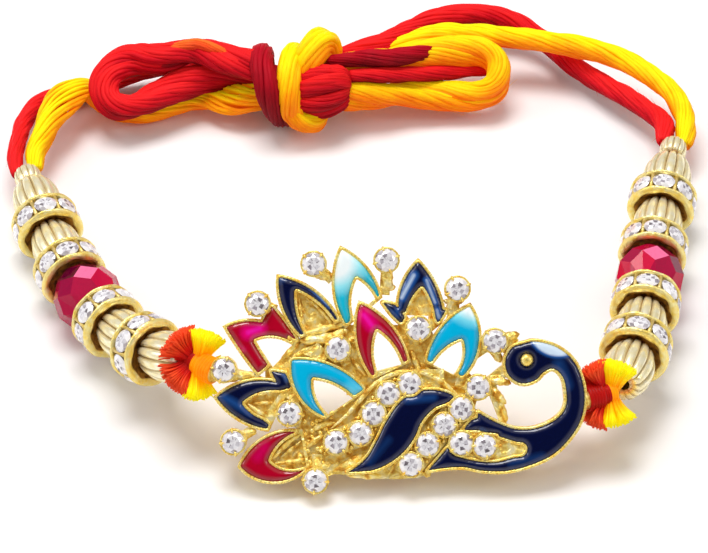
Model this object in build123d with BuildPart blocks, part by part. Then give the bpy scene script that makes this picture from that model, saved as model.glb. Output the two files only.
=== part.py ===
"""Rakhi thread bracelet: a cast peacock pendant between two bead strings, tied at the back with a bow.

The bracelet lies on a flat surface as a whole loop. X runs to the right along the pendant, Y goes away
from the front and Z is up. The origin is on the surface, under the middle of the metal and the beads.
Lengths are millimetres and angles are degrees.
"""

import os
from collections import namedtuple
from math import cos, radians, sin, sqrt, tan

from build123d import *

os.makedirs("parts", exist_ok=True)

# Pendant casting, which leans back on its lower edge
pendant_width = 40.2
pendant_height = 26.8
pendant_lean = 45.0
pendant_middle_x = 4.9
pendant_foot_y = -24.8
ground_thickness = 0.9
lowest_top = 1.4
level_step = 0.3
rim_width = 0.3
inner_rim_width = 0.28
recess_depth = 0.55
enamel_rise = 0.18
enamel_gap = 0.04
smallest_enamel = 0.25
arm_width = 1.1
rail_height = 1.3
eye_diameter = 1.3
eye_rise = 0.5

# Round cut stones of the pendant and their cups
stone_diameter = 2.3
stone_table_share = 0.58
stone_crown = 0.42
stone_girdle = 0.12
stone_pavilion = 0.85
stone_culet_share = 0.12
stone_gap = 0.05
stone_sides = 8
cup_wall = 0.28
cup_top = 2.3
seat_floor = 1.2

# Rhinestone rondelles
rondelle_diameter = 8.0
rondelle_width = 3.5
lip_width = 0.75
plate_thickness = 0.5
dish_depth = 1.0
dish_floor_diameter = 4.0
groove_depth = 1.15
rim_stones = 10
rim_stone_diameter = 2.1
rim_stone_inset = 0.05
rim_stone_crown = 0.22
rim_stone_pavilion = 0.55

# Ribbed beads, crystals and end beads
ribbed_diameter = 5.7
ribbed_end_diameter = 3.4
ribbed_gap = 4.4
ribbed_flutes = 14
flute_width = 0.55
nest_gap = 0.3
crystal_diameter = 8.0
crystal_gap = 6.6
crystal_nest = 0.2
crystal_sides = 8
crystal_belt_latitude = 38.0
crystal_belt_share = 0.905
end_bead_diameter = 3.2
end_bead_face_diameter = 2.7
end_bead_length = 2.2
bead_clearance = 0.1
bead_bore = 1.7

# Threads and floss
core_thread = 1.0
eyelet_bore = 1.2
eyelet_diameter = 2.3
eyelet_length = 1.8
floss_radius = 4.1
floss_half_angle = 31.0
floss_collar = 0.5
floss_collar_diameter = 2.2
floss_bore = 1.5
floss_clearance = 0.15
bead_side_angle = 50.0
pendant_side_angle = 123.0
cord_diameter = 2.2
cord_spacing = 2.36
loop_diameter = 2.8

# Bow knot: a core along X with three wraps round it. Its middle is a place on the surface plan.
knot_x = -6.4
knot_y = 36.1
knot_length = 10.4
knot_core_diameter = 7.4
wrap_clearance = 0.1
red_wrap_width = 2.6
yellow_wrap_width = 4.4
back_wrap_width = 3.2
red_wrap_wall = 1.5
yellow_wrap_wall = 1.8
back_wrap_wall = 1.3
wrap_apart = 0.2
wrap_overhang = 0.5
wrap_rounding = 0.9

# Feathers, from the lowest layer to the top one. Places are percent of the pendant's width from its
# middle and of its height from its foot, bulges are shares of the side's own length.
Feather = namedtuple("Feather", "name level tip left left_bulge right right_bulge apex feet pierced")
FEATHERS = [
    Feather("turquoise_top", 0, (-16, 100), (-14.5, 66.5), 0.13, (-4.5, 79), 0.12,
            (-11.5, 86.5), ((-12.5, 71.5), (-6.5, 78.5)), True),
    Feather("navy_top_right", 0, (5, 95), (-1, 72), 0.12, (12.5, 71.5), 0.09,
            (6, 82.5), ((2, 70.5), (9, 70.5)), False),
    Feather("crimson_left", 0, (-47.5, 67.5), (-38, 47), 0.02, (-27.5, 60.5), 0.2,
            (-38.5, 61.5), ((-34, 51), (-28.5, 59.5)), True),
    Feather("navy_left", 0, (-50, 39), (-35, 25), 0.11, (-29, 44), 0.16,
            (-41.5, 36.5), ((-36.5, 31), (-32, 40.5)), False),
    Feather("crimson_lower", 1, (-43.5, 11), (-24, 10.5), 0.23, (-26, 26), 0.18,
            (-34.5, 13.5), ((-25, 11.5), (-26.5, 24.5)), False),
    Feather("navy_top_left", 1, (-33, 88.5), (-26.5, 62.5), 0.12, (-15.5, 69.5), 0.13,
            (-27.5, 81.5), ((-24, 62.5), (-16.5, 66)), False),
    Feather("turquoise_right", 1, (19, 77), (6.5, 53), 0.13, (17, 46), 0.19,
            (16.5, 61.5), ((9, 52), (14.5, 48)), True),
    Feather("crimson_centre", 2, (-11, 78), (-7.5, 46), 0.13, (3, 53), 0.13,
            (-6, 65.5), ((-6, 49.5), (0.5, 52)), True),
    Feather("turquoise_centre", 2, (-29.5, 55), (-20, 30), 0.18, (-8.5, 42), 0.13,
            (-23, 46), ((-19, 32), (-12.5, 38.5)), True),
]

# Enamel patches beside the feathers, in the same percents, each joined to the feather it names
Patch = namedtuple("Patch", "feather corners")
PATCHES = [
    Patch("crimson_left", ((-37, 68.5), (-34.5, 76), (-31, 69.5), (-27.5, 62), (-31, 64))),
    Patch("navy_top_right", ((-4.5, 77), (-1, 76), (2, 70), (1.5, 67), (-2, 72))),
    Patch("navy_top_right", ((8.5, 74), (12.5, 74), (10.5, 69), (8.5, 66.5))),
    Patch("navy_left", ((-34.5, 49.5), (-30.5, 48.5), (-27.5, 37.5), (-31.5, 41))),
    Patch("navy_top_left", ((-25, 57), (-22, 59.5), (-19.5, 56), (-20.5, 54.5))),
]

# The wing band, the neck with its head, and the leaf set into the body, in the same percents
WING_UPPER_EDGE = [(-14, 9), (-9, 14.5), (-6, 22), (-3.5, 29.5), (0, 37), (4, 41), (8.5, 42), (12.5, 41),
                   (15.5, 38.5)]
WING_LOWER_EDGE = [(9.5, 35), (6, 29.5), (4, 23), (1, 17), (-3.5, 12), (-8, 9.5)]
NECK_OUTER_EDGE = [(7.5, 9.5), (16.5, 11), (22.5, 9.5), (29, 9.5), (35.5, 12), (41, 16), (45.5, 22.5),
                   (48.5, 30), (49.5, 38.5), (48.5, 47.5), (46, 54.5), (41.5, 59.5), (35.5, 61.5)]
NECK_INNER_EDGE = [(30.5, 59.5), (28.5, 55), (28.5, 50), (30, 46.5), (33, 44.5), (36.5, 46), (38.5, 49),
                   (41, 50.5), (43.5, 47.5), (44.5, 42.5), (44.5, 35.5), (42.5, 31), (38.5, 27.5), (34, 26),
                   (29, 27), (21, 33)]
LEAF_EDGE = [(14, 18.5), (19, 24.5), (25.5, 22.5), (30, 20.5), (33.5, 18), (29.5, 15.5), (24.5, 14),
             (16.5, 16)]
EYE_PLACE = (34, 54)

# Gold that shows between the coloured parts: the ground under the feathers, the rails and the beak
GROUND_CORNERS = [(-27, 62), (-15, 68), (8, 68), (12, 54), (18, 50), (22, 43), (20, 34), (8, 10),
                  (-18, 8), (-24, 12), (-27, 26), (-36, 34), (-36, 50)]
RAIL_CORNERS = [(-25, 4), (-17.5, 8), (-8, 7), (-3.5, 6), (-0.5, 6), (5, 6.5), (8, 8.5), (20, 32),
                (10, 30), (-18, 12)]
BEAK_CORNERS = [(30.5, 49), (26, 44), (29, 27), (27.5, 26.5), (23, 44), (22.5, 46), (28.5, 53)]
CREST_CORNERS = [(26, 63), (30, 64.5), (32, 62), (29.5, 56), (27.5, 57), (24.5, 58)]

# Stones: their node, their place in percents, and the place that a gold arm carries their cup from
Stone = namedtuple("Stone", "group place carrier")
STONES = [
    Stone("tail_stones", (-38, 76.5), (-33, 74)),
    Stone("tail_stones", (-23, 92.5), (-18, 86)),
    Stone("tail_stones", (-3.5, 94), (-4, 80)),
    Stone("tail_stones", (15.5, 82.5), (14, 70)),
    Stone("tail_stones", (-47, 50), (-37, 45)),
    Stone("tail_stones", (-44.5, 21), (-39, 26)),
    Stone("tail_stones", (-22.5, 5.5), (-22, 16)),
    Stone("tail_stones", (-16.5, 58.5), (-14, 52)),
    Stone("tail_stones", (5, 66.5), (5, 60)),
    Stone("tail_stones", (-29.5, 32.5), (-26, 30)),
    Stone("tail_stones", (25.5, 61.5), (20, 56)),
    Stone("tail_stones", (21, 43), (15, 45)),
    Stone("wing_stones", (-17, 21), (-10.5, 24.5)),
    Stone("wing_stones", (-10.5, 24.5), (-7, 32.5)),
    Stone("wing_stones", (-7, 32.5), (-3, 40.5)),
    Stone("wing_stones", (-3, 40.5), (2.7, 44.5)),
    Stone("wing_stones", (2.7, 44.5), (12, 45)),
    Stone("body_stones", (3, 12), (7.5, 20)),
    Stone("body_stones", (7.5, 20), (12, 28)),
    Stone("body_stones", (12, 28), (16.5, 34.5)),
    Stone("body_stones", (16.5, 34.5), (20, 36)),
    Stone("body_stones", (16.5, 20.5), (20, 20)),
    Stone("body_stones", (22.8, 19.5), (26, 19)),
]

# Bead strings, walked from the pendant's eyelet outward. Each step has its own heading, as a yaw from
# +Y toward +X and a climb above the surface.
Step = namedtuple("Step", "kind yaw climb")
LEFT_STRING = [
    Step("floss", -51, -6),
    Step("approach", -53, -24),
    Step("ribbed", -50, -22),
    Step("rondelle", -42, -17.5),
    Step("ribbed", -36.5, -15),
    Step("rondelle", -32.5, -9.5),
    Step("crystal", -29.5, -4.5),
    Step("rondelle", -25, -1),
    Step("ribbed", -22, 0),
    Step("rondelle", -20, 0),
    Step("ribbed", -18.5, 0.5),
    Step("bare", -18.5, 0.5),
    Step("end", -18.5, 0.5),
]
RIGHT_STRING = [
    Step("floss", 66, -8),
    Step("approach", 38, -9),
    Step("ribbed", 18, -8.5),
    Step("rondelle", 14.5, -7),
    Step("ribbed", 11.5, -8),
    Step("rondelle", 9.5, -8),
    Step("crystal", 8.5, -6.5),
    Step("rondelle", 10, -2),
    Step("ribbed", 11, 0),
    Step("rondelle", 11.5, 0),
    Step("ribbed", 12, 0),
    Step("bare", 12, 0),
    Step("end", 12, 0),
]

# What differs between the two sides: the eyelet's place in percents and its height in the casting,
# the runs from it to the middle of the floss knot, on to the first bead, and from the last ribbed bead
# to the end bead, and the floss colours.
Side = namedtuple("Side", "name string eyelet eyelet_height to_floss to_bead to_end bead_floss pendant_floss")
SIDES = [
    Side("left", LEFT_STRING, (-51, 50), 0.9, 1.9, 2.1, 1.2, "red", "yellow"),
    Side("right", RIGHT_STRING, (51, 38.5), 0.9, 2.2, 3.1, 1.9, "yellow", "red"),
]

# Cord routes between the end bead and the knot, as points chosen by hand
CORD_MIDDLES = {
    "left_red": [(-40.9, 29.0, 3.7), (-39.9, 33.0, 3.3), (-36.8, 36.6, 2.9), (-32.2, 38.6, 2.4),
                 (-26.6, 39.0, 2.0), (-21.4, 38.6, 2.4)],
    "left_yellow": [(-38.4, 28.0, 3.7), (-37.3, 31.4, 3.3), (-34.6, 34.1, 2.8), (-30.6, 35.4, 2.2),
                    (-25.6, 35.6, 1.9), (-20.6, 35.1, 2.3)],
    "right_red": [(36.6, 31.6, 3.4), (34.2, 35.0, 3.0), (30.6, 38.4, 2.7), (26.4, 42.4, 2.4),
                  (21.4, 46.2, 2.6), (15.6, 48.6, 3.5), (10.4, 46.6, 4.7), (7.0, 43.2, 5.9),
                  (5.0, 40.1, 6.7)],
    "right_yellow": [(38.9, 33.4, 4.6), (36.0, 37.2, 5.3), (31.9, 40.0, 5.8), (27.1, 42.0, 6.0),
                     (22.0, 42.8, 5.7), (16.8, 43.3, 5.2), (11.6, 42.1, 4.6), (6.9, 39.5, 4.1)],
}
LOOP_MIDDLES = {
    "left_loop": [(-19.4, 39.3, 7.7), (-23.8, 38.8, 7.5), (-28.1, 38.1, 7.4), (-30.0, 36.6, 6.6),
                  (-30.0, 34.2, 5.3), (-28.1, 32.7, 4.3), (-24.0, 33.4, 4.5), (-19.8, 34.5, 5.6)],
    "right_loop": [(6.4, 36.4, 7.9), (10.7, 37.0, 7.9), (14.9, 36.9, 7.6), (16.6, 36.0, 6.1),
                   (16.6, 34.8, 4.1), (14.9, 33.9, 2.6), (10.6, 33.9, 2.7), (6.3, 33.9, 3.6)],
}

# Where cords and loop arms meet the knot's two ends, as steps in Y and Z from its middle
KNOT_PORTS = {
    "left_red": (1.3, -1.2),
    "left_yellow": (-1.3, -1.75),
    "left_loop": ((0.9, 1.75), (-1.95, 0.95)),
    "right_red": (1.9, 1.25),
    "right_yellow": (1.5, -1.3),
    "right_loop": ((-0.6, 1.95), (-1.9, -0.75)),
}
port_run = 3.6
arc_share = 0.45
bead_run = 2.4

# Names and sizes worked out from the above
core_radius = core_thread / 2
stone_radius = stone_diameter / 2
cup_radius = stone_radius + cup_wall
wrap_outer_radius = knot_core_diameter / 2 + wrap_clearance + yellow_wrap_wall
knot_middle = Vector(knot_x, knot_y, wrap_outer_radius)
ribbed_length = ribbed_gap + 2 * (dish_depth - nest_gap)
crystal_length = crystal_gap + 2 * crystal_nest
crystal_inner_radius = crystal_diameter / 2 * cos(radians(180 / crystal_sides))
step_lengths = {
    "ribbed": ribbed_gap,
    "rondelle": rondelle_width,
    "crystal": crystal_gap,
    "end": end_bead_length,
}
pendant_plane = Plane(
    origin=(pendant_middle_x, pendant_foot_y, 0),
    x_dir=(1, 0, 0),
    z_dir=(0, -cos(radians(pendant_lean)), sin(radians(pendant_lean))),
)


def at(place):
    """A point on the pendant's own plan, from percents of its width and height."""
    return (place[0] / 100 * pendant_width, place[1] / 100 * pendant_height)


def save(part, name):
    """Labels a finished piece and writes its file."""
    part.label = name
    export_step(part, f"parts/{name}.step")


# Outlines of the pendant, each a flat face on its plan


def bowed_side(start, end, bulge):
    """An arc from start to end that bows to its left by a share of its length."""
    length = (Vector(*end) - Vector(*start)).length
    return SagittaArc(start, end, bulge * length)


def feather_outline(row):
    with BuildSketch() as outline:
        with BuildLine():
            bowed_side(at(row.left), at(row.tip), row.left_bulge)
            bowed_side(at(row.tip), at(row.right), row.right_bulge)
            Line(at(row.right), at(row.left))
        make_face()
    return outline.sketch


def window_outline(row):
    with BuildSketch() as outline:
        with BuildLine():
            bowed_side(at(row.feet[0]), at(row.apex), row.left_bulge * 0.7)
            bowed_side(at(row.apex), at(row.feet[1]), row.right_bulge * 0.7)
            Line(at(row.feet[1]), at(row.feet[0]))
        make_face()
    return outline.sketch


def enamel_opening(row):
    """The window with its inner rim, run on past the feather's foot so that the enamel stays open there."""
    apex, left, right = (Vector(*at(p)) for p in (row.apex, *row.feet))
    run_on = 0.8
    with BuildSketch() as opening:
        add(window_outline(row))
        with BuildLine():
            Polyline(left, right, right + (right - apex) * run_on, left + (left - apex) * run_on, close=True)
        make_face()
        offset(amount=inner_rim_width)
    return opening.sketch


def flat(outlines):
    """The separate faces of some outlines, as one list."""
    return [face for outline in outlines for face in outline.faces()]


def polygon_outline(corners):
    with BuildSketch() as outline:
        with BuildLine():
            Polyline(*(at(c) for c in corners), close=True)
        make_face()
    return outline.sketch


def smooth_edge(places):
    """A smooth edge through some places, as pairs of arcs that share their tangents."""
    points = [Vector(*at(place)) for place in places]
    chords = [(b - a).normalized() for a, b in zip(points, points[1:])]
    middle = [(b - a).normalized() for a, b in zip(points, points[2:])]
    first = chords[0] * (2 * middle[0].dot(chords[0])) - middle[0]
    last = chords[-1] * (2 * middle[-1].dot(chords[-1])) - middle[-1]
    tangents = [first, *middle, last]
    for start, end, leaving, arriving in zip(points, points[1:], tangents, tangents[1:]):
        chord, both = end - start, leaving + arriving
        spare = 4 - both.dot(both)
        root = sqrt(chord.dot(both) ** 2 + spare * chord.dot(chord))
        reach = (root - chord.dot(both)) / spare
        before, after = start + leaving * reach, end - arriving * reach
        joint = (before + after) / 2
        TangentArc(start, joint, tangent=leaving)
        TangentArc(joint, end, tangent=after - before)


def curved_outline(*edges):
    """A face bounded by smooth edges, each run through its points, that meet at corners."""
    with BuildSketch() as outline:
        with BuildLine():
            for edge, following in zip(edges, edges[1:] + edges[:1]):
                smooth_edge(edge)
                if edge[-1] != following[0]:
                    Line(at(edge[-1]), at(following[0]))
        make_face()
    return outline.sketch


def grown(face, amount):
    with BuildSketch() as outline:
        add(face)
        offset(amount=amount)
    return outline.sketch


def arm_outline(place, carrier, width):
    with BuildSketch() as arm:
        with BuildLine() as path:
            Line(at(place), at(carrier))
        trace(path.line, width)
    return arm.sketch


def round_outline(place, radius):
    with BuildSketch() as outline:
        with Locations(at(place)):
            Circle(radius)
    return outline.sketch


# The layers of the casting. Enamel is open to the eye only where nothing above it covers it.

feather_tops = {row.name: lowest_top + row.level * level_step for row in FEATHERS}


def feather_plan(row, margin=0):
    """A feather with its patches, a margin wider than its gold outline."""
    with BuildSketch() as plan:
        add(feather_outline(row))
        if margin:
            offset(amount=margin)
        for patch in PATCHES:
            if patch.feather == row.name:
                add(grown(polygon_outline(patch.corners), rim_width + margin))
    return plan.sketch


feather_plans = {row.name: feather_plan(row) for row in FEATHERS}
feather_covers = {row.name: feather_plan(row, enamel_gap) for row in FEATHERS}

wing_edge = curved_outline(WING_UPPER_EDGE, WING_LOWER_EDGE)
neck_edge = curved_outline(NECK_OUTER_EDGE, NECK_INNER_EDGE)
leaf_edge = curved_outline(LEAF_EDGE)
neck_top = lowest_top + 2 * level_step
wing_top = lowest_top + 3 * level_step
channel_top = lowest_top + level_step
channel_width = 2 * cup_radius


def enamel_region(own, covers):
    """What is left of an enamel face after everything that lies above it, without slivers."""
    with BuildSketch() as region:
        add(own)
        add(flat(covers), mode=Mode.SUBTRACT)
    return [face for face in region.sketch.faces() if face.area > smallest_enamel]


row_stones = [stone for stone in STONES if stone.group != "tail_stones"]
cups = [round_outline(stone.place, cup_radius) for stone in STONES]
cup_covers = [round_outline(stone.place, cup_radius + enamel_gap) for stone in STONES]
channels = [arm_outline(stone.place, stone.carrier, channel_width) for stone in row_stones]
channel_covers = [grown(channel, enamel_gap) for channel in channels]
neck_plan = grown(neck_edge, rim_width)
neck_cover = grown(neck_edge, rim_width + enamel_gap)
wing_plan = grown(wing_edge, rim_width)
wing_cover = grown(wing_edge, rim_width + enamel_gap)
leaf_cover = grown(leaf_edge, rim_width)
eye_post = round_outline(EYE_PLACE, eye_diameter / 2)

# Each enamel: its regions and the top of the rim that it fills
enamels = {}
for number, row in enumerate(FEATHERS):
    with BuildSketch() as own:
        add(feather_outline(row))
        offset(amount=-rim_width)
        for patch in PATCHES:
            if patch.feather == row.name:
                add(polygon_outline(patch.corners))
        add(enamel_opening(row), mode=Mode.SUBTRACT)
    above = [feather_covers[other.name] for other in FEATHERS[number + 1:]]
    regions = enamel_region(own.sketch, [*above, *channel_covers, *cup_covers, neck_cover, wing_cover])
    enamels[row.name] = (regions, feather_tops[row.name])
enamels["wing"] = (enamel_region(wing_edge, cup_covers), wing_top)
enamels["neck"] = (
    enamel_region(neck_edge, [*channel_covers, *cup_covers, wing_cover, leaf_cover, eye_post]),
    neck_top,
)

# The setting: one gold casting with rims, cups, pierced windows and an eyelet at each end

side_eyelets = {}
for side in SIDES:
    across, up = at(side.eyelet)
    place = pendant_plane.from_local_coords(Vector(across, up, side.eyelet_height))
    side_eyelets[side.name] = place


def heading(step):
    """The direction of a string's step."""
    yaw, climb = radians(step.yaw), radians(step.climb)
    return Vector(sin(yaw) * cos(climb), cos(yaw) * cos(climb), sin(climb))


def facing(place, direction):
    """A plane at a place on a string, whose normal runs along the string."""
    return Plane(origin=place, z_dir=direction)


def slab(faces, bottom, top, mode=Mode.ADD):
    """Adds to, or cuts from, the current part everything over some faces between two heights."""
    with BuildSketch(pendant_plane.offset(bottom)) as plan:
        add(flat(faces))
    extrude(plan.sketch, amount=top - bottom, mode=mode)


def recess(name):
    """The hollow in the gold that an enamel fills."""
    return [grown(region, enamel_gap) for region in enamels[name][0]]


def eyelet_start(side):
    """The inner end of a side's eyelet, facing outward along the thread."""
    line = heading(side.string[0])
    return facing(side_eyelets[side.name] - line * (eyelet_length / 2), line)


with BuildPart() as setting:
    slab([polygon_outline(GROUND_CORNERS)], 0, ground_thickness)
    for side in SIDES:
        with BuildSketch(eyelet_start(side)) as ring:
            Circle(eyelet_diameter / 2)
        extrude(ring.sketch, amount=eyelet_length)
    edges = [polygon_outline(corners) for corners in (RAIL_CORNERS, BEAK_CORNERS, CREST_CORNERS)]
    arms = [arm_outline(stone.place, stone.carrier, arm_width) for stone in STONES]
    slab([*edges, *arms], 0, rail_height)
    for level in sorted({row.level for row in FEATHERS}):
        rows = [row for row in FEATHERS if row.level == level]
        top = lowest_top + level * level_step
        slab([feather_plans[row.name] for row in rows], 0, top)
        slab([window_outline(row) for row in rows if row.pierced], 0, top, Mode.SUBTRACT)
        floored = [window_outline(row) for row in rows if not row.pierced]
        if floored:
            slab(floored, ground_thickness, top, Mode.SUBTRACT)
        hollows = [face for row in rows for face in recess(row.name)]
        slab(hollows, top - recess_depth, top, Mode.SUBTRACT)
    slab([neck_plan], 0, neck_top)
    slab(recess("neck"), neck_top - recess_depth, neck_top, Mode.SUBTRACT)
    slab(channels, 0, channel_top)
    slab([wing_plan], 0, wing_top)
    slab(recess("wing"), wing_top - recess_depth, wing_top, Mode.SUBTRACT)
    slab(cups, 0, cup_top)
    seats = [round_outline(stone.place, stone_radius + stone_gap) for stone in STONES]
    slab(seats, seat_floor, cup_top, Mode.SUBTRACT)
    slab([round_outline(EYE_PLACE, eye_diameter / 2 - enamel_gap)], seat_floor, neck_top + eye_rise)
    for side in SIDES:
        with BuildSketch(eyelet_start(side)) as bore:
            Circle(eyelet_bore / 2)
        extrude(bore.sketch, amount=2 * eyelet_length, mode=Mode.SUBTRACT)

save(setting.part, "peacock_setting")

# Enamel fills each recess and stands a little proud of its rims

for name, (regions, top) in enamels.items():
    with BuildPart() as enamel:
        slab(regions, top - recess_depth + enamel_gap, top + enamel_rise)
    save(enamel.part, f"{name}_enamel")

# Cut stones, each with a table, a crown of facets and a pavilion


def cut_stone(diameter, crown, pavilion):
    """A cut stone whose girdle stands on z = 0 with the table up."""
    radius = diameter / 2
    with BuildPart() as stone:
        with BuildSketch() as girdle:
            RegularPolygon(radius, stone_sides)
        extrude(girdle.sketch, amount=stone_girdle)
        for start, end, share in (
            (stone_girdle, stone_girdle + crown, stone_table_share),
            (0, -pavilion, stone_culet_share),
        ):
            with BuildSketch(Plane.XY.offset(start)) as wide:
                RegularPolygon(radius, stone_sides)
            with BuildSketch(Plane.XY.offset(end)) as narrow:
                RegularPolygon(radius * share, stone_sides)
            loft([wide.sketch, narrow.sketch], ruled=True)
    return stone.part


pendant_stone = cut_stone(stone_diameter, stone_crown, stone_pavilion)
for group in ("tail_stones", "wing_stones", "body_stones"):
    with BuildPart() as stones:
        with Locations(pendant_plane.offset(cup_top - stone_girdle)):
            with Locations(*(at(stone.place) for stone in STONES if stone.group == group)):
                add(pendant_stone)
    save(stones.part, group)

# Beads, each modelled once along Z with its middle at the origin


def barrel(diameter, end_diameter, length, bore):
    """A round bead that bulges in the middle."""
    with BuildPart() as bead:
        with BuildSketch(Plane.XZ) as section:
            with BuildLine():
                edge = ThreePointArc(
                    (end_diameter / 2, length / 2), (diameter / 2, 0), (end_diameter / 2, -length / 2)
                )
                Polyline(edge @ 1, (bore / 2, -length / 2), (bore / 2, length / 2), edge @ 0)
            make_face()
        revolve(section.sketch, axis=Axis.Z)
    return bead.part


with BuildPart() as flute:
    with BuildLine() as groove:
        ThreePointArc(
            (ribbed_end_diameter / 2, 0, ribbed_length / 2),
            (ribbed_diameter / 2, 0, 0),
            (ribbed_end_diameter / 2, 0, -ribbed_length / 2),
        )
    with BuildSketch(Plane(origin=groove.line @ 0, z_dir=groove.line % 0)) as section:
        Circle(flute_width / 2)
    sweep(section.sketch, path=groove.line)

with BuildPart() as ribbed_bead:
    add(barrel(ribbed_diameter, ribbed_end_diameter, ribbed_length, bead_bore))
    with PolarLocations(0, ribbed_flutes):
        add(flute.part, mode=Mode.SUBTRACT)

with BuildPart() as rondelle:
    half = rondelle_width / 2
    rim = rondelle_diameter / 2
    with BuildSketch(Plane.XZ):
        with BuildLine():
            Polyline(
                (bead_bore / 2, 0),
                (bead_bore / 2, half - dish_depth),
                (dish_floor_diameter / 2, half - dish_depth),
                (rim - lip_width, half),
                (rim, half),
                (rim, half - plate_thickness),
                (rim - groove_depth, half - plate_thickness),
                (rim - groove_depth, 0),
                close=True,
            )
        make_face()
    revolve(axis=Axis.Z)
    mirror(about=Plane.XY)

rim_stone = cut_stone(rim_stone_diameter, rim_stone_crown, rim_stone_pavilion)
with BuildPart() as rondelle_stones:
    girdle_radius = rondelle_diameter / 2 - rim_stone_inset - rim_stone_crown - stone_girdle
    with PolarLocations(girdle_radius, rim_stones):
        with Locations(Rotation(0, 90, 0)):
            add(rim_stone)

with BuildPart() as crystal:
    Cylinder(crystal_diameter, crystal_length)
    belt = crystal_inner_radius * crystal_belt_share
    for latitude, shift, distance in (
        (0, 0, crystal_inner_radius),
        (crystal_belt_latitude, 0.5, belt),
        (-crystal_belt_latitude, 0.5, belt),
    ):
        for number in range(crystal_sides):
            outward = Vector(1, 0, 0).rotate(Axis.Y, -latitude)
            outward = outward.rotate(Axis.Z, 360 / crystal_sides * (number + shift))
            with Locations(Plane(origin=outward * distance, z_dir=outward)):
                Box(
                    4 * crystal_diameter,
                    4 * crystal_diameter,
                    2 * crystal_diameter,
                    align=(Align.CENTER, Align.CENTER, Align.MIN),
                    mode=Mode.SUBTRACT,
                )
    Cylinder(bead_bore / 2, crystal_length, mode=Mode.SUBTRACT)

end_bead = barrel(
    end_bead_diameter, end_bead_face_diameter, end_bead_length - 2 * bead_clearance, bead_bore
)

# The strings: beads sit between the joints of a walk that starts at the pendant's eyelet

templates = {
    "ribbed": ("ribbed_bead", ribbed_bead.part),
    "rondelle": ("rondelle", rondelle.part),
    "crystal": ("crystal", crystal.part),
    "end": ("end_bead", end_bead),
}


def walk(side):
    """The joints between a side's steps, from its eyelet outward."""
    lengths = step_lengths | {"floss": side.to_floss, "approach": side.to_bead, "bare": side.to_end}
    joints = [side_eyelets[side.name]]
    for step in side.string:
        joints.append(joints[-1] + heading(step) * lengths[step.kind])
    return joints


def placed(piece, plane):
    with BuildPart() as copy:
        with Locations(plane):
            add(piece)
    return copy.part


walks = {side.name: walk(side) for side in SIDES}
for side in SIDES:
    kinds = [step.kind for step in side.string]
    joints = walks[side.name]
    for index, step in enumerate(side.string):
        if step.kind not in templates:
            continue
        plain_name, template = templates[step.kind]
        several = kinds.count(step.kind) > 1
        number = f"_{kinds[:index + 1].count(step.kind)}" if several else ""
        seat = facing((joints[index] + joints[index + 1]) / 2, heading(step))
        save(placed(template, seat), f"{side.name}_{plain_name}{number}")
        if step.kind == "rondelle":
            save(placed(rondelle_stones.part, seat), f"{side.name}_rondelle_stones{number}")

# Floss knots: on each side two bunches of cut floss, tied to the thread one beside the other

with BuildPart() as lobe:
    with BuildSketch(Plane.XZ):
        with BuildLine():
            spread = radians(floss_half_angle)
            Line((0, 0), (floss_radius * sin(spread), floss_radius * cos(spread)))
            ThreePointArc(
                (floss_radius * sin(spread), floss_radius * cos(spread)),
                (floss_radius * sin(spread / 2), floss_radius * cos(spread / 2)),
                (0, floss_radius),
            )
            Line((0, floss_radius), (0, 0))
        make_face()
    revolve(axis=Axis.Z)

# The room that floss leaves round the first bead, and round the pendant's parts beside the knots
bead_room = barrel(
    ribbed_diameter + 2 * floss_clearance,
    ribbed_end_diameter + 2 * floss_clearance,
    ribbed_length + 2 * floss_clearance,
    0,
)
edge_feathers = [feather_plan(row, floss_clearance) for row in FEATHERS if row.level == 0]
edge_neck = grown(neck_edge, rim_width + floss_clearance)
edge_cups = [round_outline(stone.place, cup_radius + floss_clearance) for stone in STONES]
with BuildPart() as pendant_room:
    slab([*edge_feathers, edge_neck], -floss_clearance, neck_top + enamel_rise + floss_clearance)
    slab(edge_cups, -floss_clearance, cup_top + stone_crown + floss_clearance)
    for side in SIDES:
        with Locations(facing(side_eyelets[side.name], heading(side.string[0]))):
            Cylinder(eyelet_diameter / 2 + floss_clearance, eyelet_length + 2 * floss_clearance)

for side in SIDES:
    along = heading(side.string[0])
    pinch = walks[side.name][1]
    across = Axis((0, 0, 0), along.cross(pendant_plane.y_dir))
    first_bead = facing((walks[side.name][2] + walks[side.name][3]) / 2, heading(side.string[2]))
    for colour, angle, way, room in (
        (side.bead_floss, bead_side_angle, 1, placed(bead_room, first_bead)),
        (side.pendant_floss, pendant_side_angle, -1, pendant_room.part),
    ):
        middle = pinch + along * (way * (floss_collar + floss_clearance) / 2)
        with BuildPart() as floss:
            for turn in (angle, -angle):
                with Locations(facing(middle, along.rotate(across, turn))):
                    add(lobe.part)
            with Locations(facing(middle, along)):
                Cylinder(floss_collar_diameter / 2, floss_collar)
            with Locations(facing(pinch, along), facing(pinch, heading(side.string[1]))):
                Cylinder(floss_bore / 2, 2 * floss_radius, mode=Mode.SUBTRACT)
            add(room, mode=Mode.SUBTRACT)
        save(floss.part, f"{side.name}_{colour}_floss")

# Threads and cords: straight runs joined by tangent arcs, each arc as large as its runs allow


def tube(route, diameter, name):
    radii = []
    for before, corner, after in zip(route, route[1:], route[2:]):
        coming, going = corner - before, after - corner
        half_turn = radians(coming.get_angle(going)) / 2
        radii.append(arc_share * min(coming.length, going.length) / tan(half_turn))
    with BuildLine() as bends:
        FilletPolyline(*route, radius=radii)
    path = bends.wire()
    with BuildPart() as cord:
        with BuildSketch(Plane(origin=path @ 0, z_dir=path % 0)) as section:
            Circle(diameter / 2)
        sweep(section.sketch, path=path)
    print(name, "length", round(path.length, 1), "radii", [round(radius, 1) for radius in radii])
    expected = path.length * section.sketch.area
    print("  volume over section times length", round(cord.part.volume / expected, 4))
    save(cord.part, name)


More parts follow.
